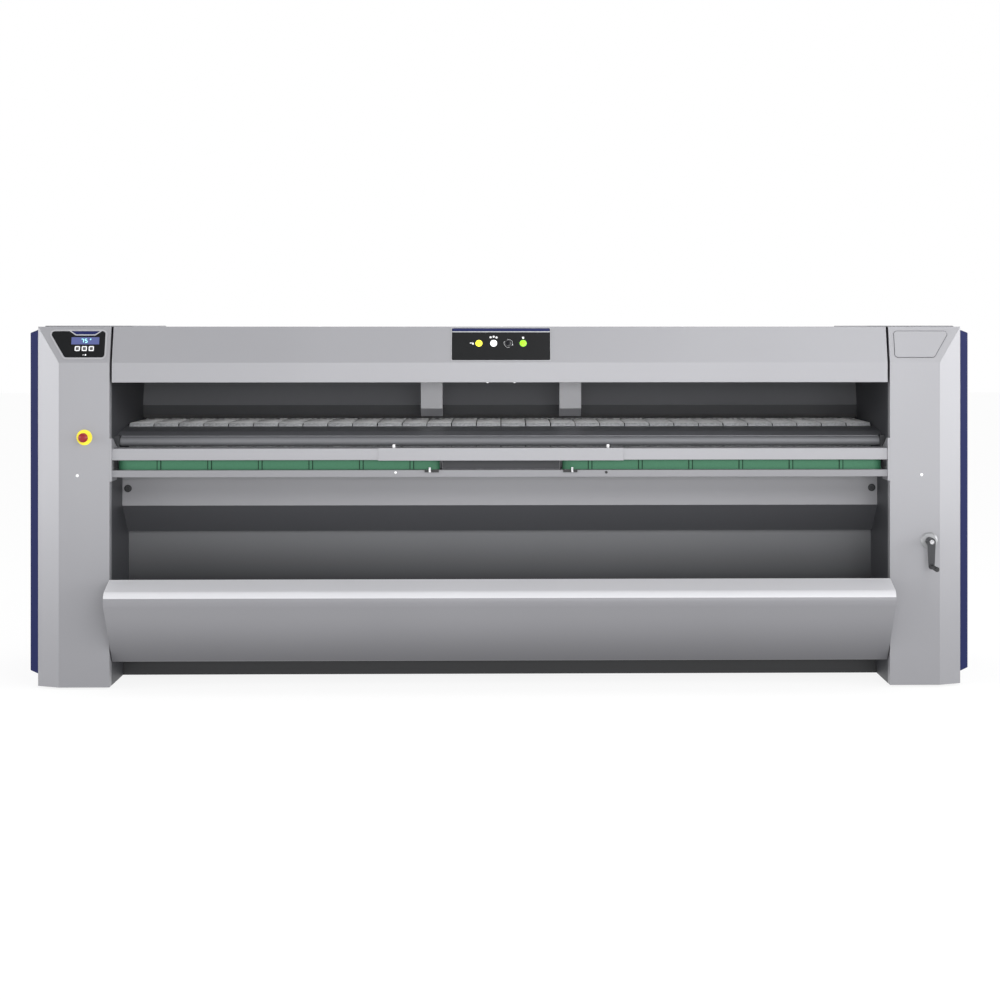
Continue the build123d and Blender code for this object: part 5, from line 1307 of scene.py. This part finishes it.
# ------------------------------------------------------------------ studio
@dataclass(frozen=True)
class Lamp:
    """A soft box: where it stands, what it aims at, its width and height in metres, and its watts."""

    name: str
    place: Triple
    aim: Triple
    size: Point
    power: float

    def build(self) -> None:
        """Hangs the lamp and aims it."""
        data = bpy.data.lights.new(self.name, "AREA")
        data.shape = "RECTANGLE"
        data.size, data.size_y = self.size
        data.energy = self.power
        box = new_object(self.name, data)
        box.location = self.place
        box.rotation_euler = (Vector(self.aim) - Vector(self.place)).to_track_quat("-Z", "Y").to_euler()


LAMPS = (Lamp("overhead", (0.2, -0.95, 5.0), (0.2, -0.9, 0), (7.0, 2.0), 70.0),
         Lamp("front", (2.0, -9.0, 3.6), (0, 0, 1.0), (7.0, 1.6), 215.0),
         Lamp("level", (0.8, -10.5, 1.5), (0, 0, 1.1), (6.0, 1.2), 185.0),
         Lamp("key", (2.6, -7.0, 6.0), (1.0, 0, 1.2), (2.6, 2.4), 100.0),
         Lamp("left", (-7.2, -2.7, 1.5), (-1.7, -0.4, 0.9), (1.6, 2.4), 85.0),
         Lamp("right", (7.2, -2.7, 1.8), (1.7, -0.4, 0.9), (1.6, 2.4), 110.0))


@dataclass
class Studio:
    """Floor, soft light and camera."""

    camera_place: Triple = (0, -9.555, 1.3985)
    yaw: float = -1.2
    lens: float = 85.0
    film: float = 36.0
    shift: Point = (-0.0505, -0.174)
    floor_half: float = 40.0
    floor_glow: float = 5.6
    sideways: Point = (0.3, 1.0)  # how far to the side the sky goes from its front to its side light
    side_light: Point = (0.12, 3.6)
    upwards: Point = (0.0, 0.7)
    height_light: Point = (1.0, 0.15)
    rearwards: Point = (-0.1, 0.4)

    def floor(self) -> None:
        """A plain white floor."""
        ends = span(0, self.floor_half)
        piece = mesh_object("floor", [(x, y, 0) for x, y in rectangle(ends, ends)], [[0, 1, 2, 3]])
        paint = Lit("white_studio_floor", "#6e6e6e", 0.9, specular=0.0, glow=self.floor_glow)
        piece.data.materials.append(paint.material())

    def sky(self) -> None:
        """Surroundings that are white behind the machine, dim in front and bright at its sides, low down."""
        world = bpy.data.worlds.new("studio")
        bpy.context.scene.world = world
        world.use_nodes = True
        tree = world.node_tree
        tree.nodes.clear()
        way = add_node(tree, "ShaderNodeTexCoord").outputs["Generated"]
        across, deep, high = add_node(tree, "ShaderNodeSeparateXYZ", {}, {0: way}).outputs
        side = output(tree, "ShaderNodeMath", {"operation": "ABSOLUTE"}, {0: across})
        lit = ranged(tree, side, self.sideways, self.side_light)
        fade = ranged(tree, high, self.upwards, self.height_light)
        faded = output(tree, "ShaderNodeMath", {"operation": "MULTIPLY"}, {0: lit, 1: fade})
        behind = ranged(tree, deep, self.rearwards)
        level = output(tree, "ShaderNodeMix", {"data_type": "FLOAT", 3: 1.0}, {0: behind, 2: faded})
        light = output(tree, "ShaderNodeBackground", {"Color": (1, 1, 1, 1)}, {"Strength": level})
        add_node(tree, "ShaderNodeOutputWorld", {}, {0: light})

    def camera(self) -> None:
        """The camera at the photograph's viewing angle."""
        data = bpy.data.cameras.new("camera")
        data.lens, data.sensor_width = self.lens, self.film
        data.shift_x, data.shift_y = self.shift
        eye = new_object("camera", data)
        eye.location = self.camera_place
        eye.rotation_euler = (math.radians(90), 0, math.radians(self.yaw))
        bpy.context.scene.camera = eye

    def build(self) -> None:
        """Sets up floor, light and camera."""
        bpy.context.scene.view_settings.view_transform = "Standard"
        self.floor()
        self.sky()
        for lamp in LAMPS:
            lamp.build()
        self.camera()


def main() -> None:
    """Builds the sub-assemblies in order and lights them."""
    logging.basicConfig(level=logging.INFO, format="%(name)s: %(message)s")
    for part in (Casing(), FeltLanes(), IndicatorHead(), DisplayHead(), SpreaderBeam(), LowerFront(), Works(),
                 HandControls(), Studio()):
        LOG.info("building %s", type(part).__name__)
        part.build()


if __name__ == "__main__":
    main()
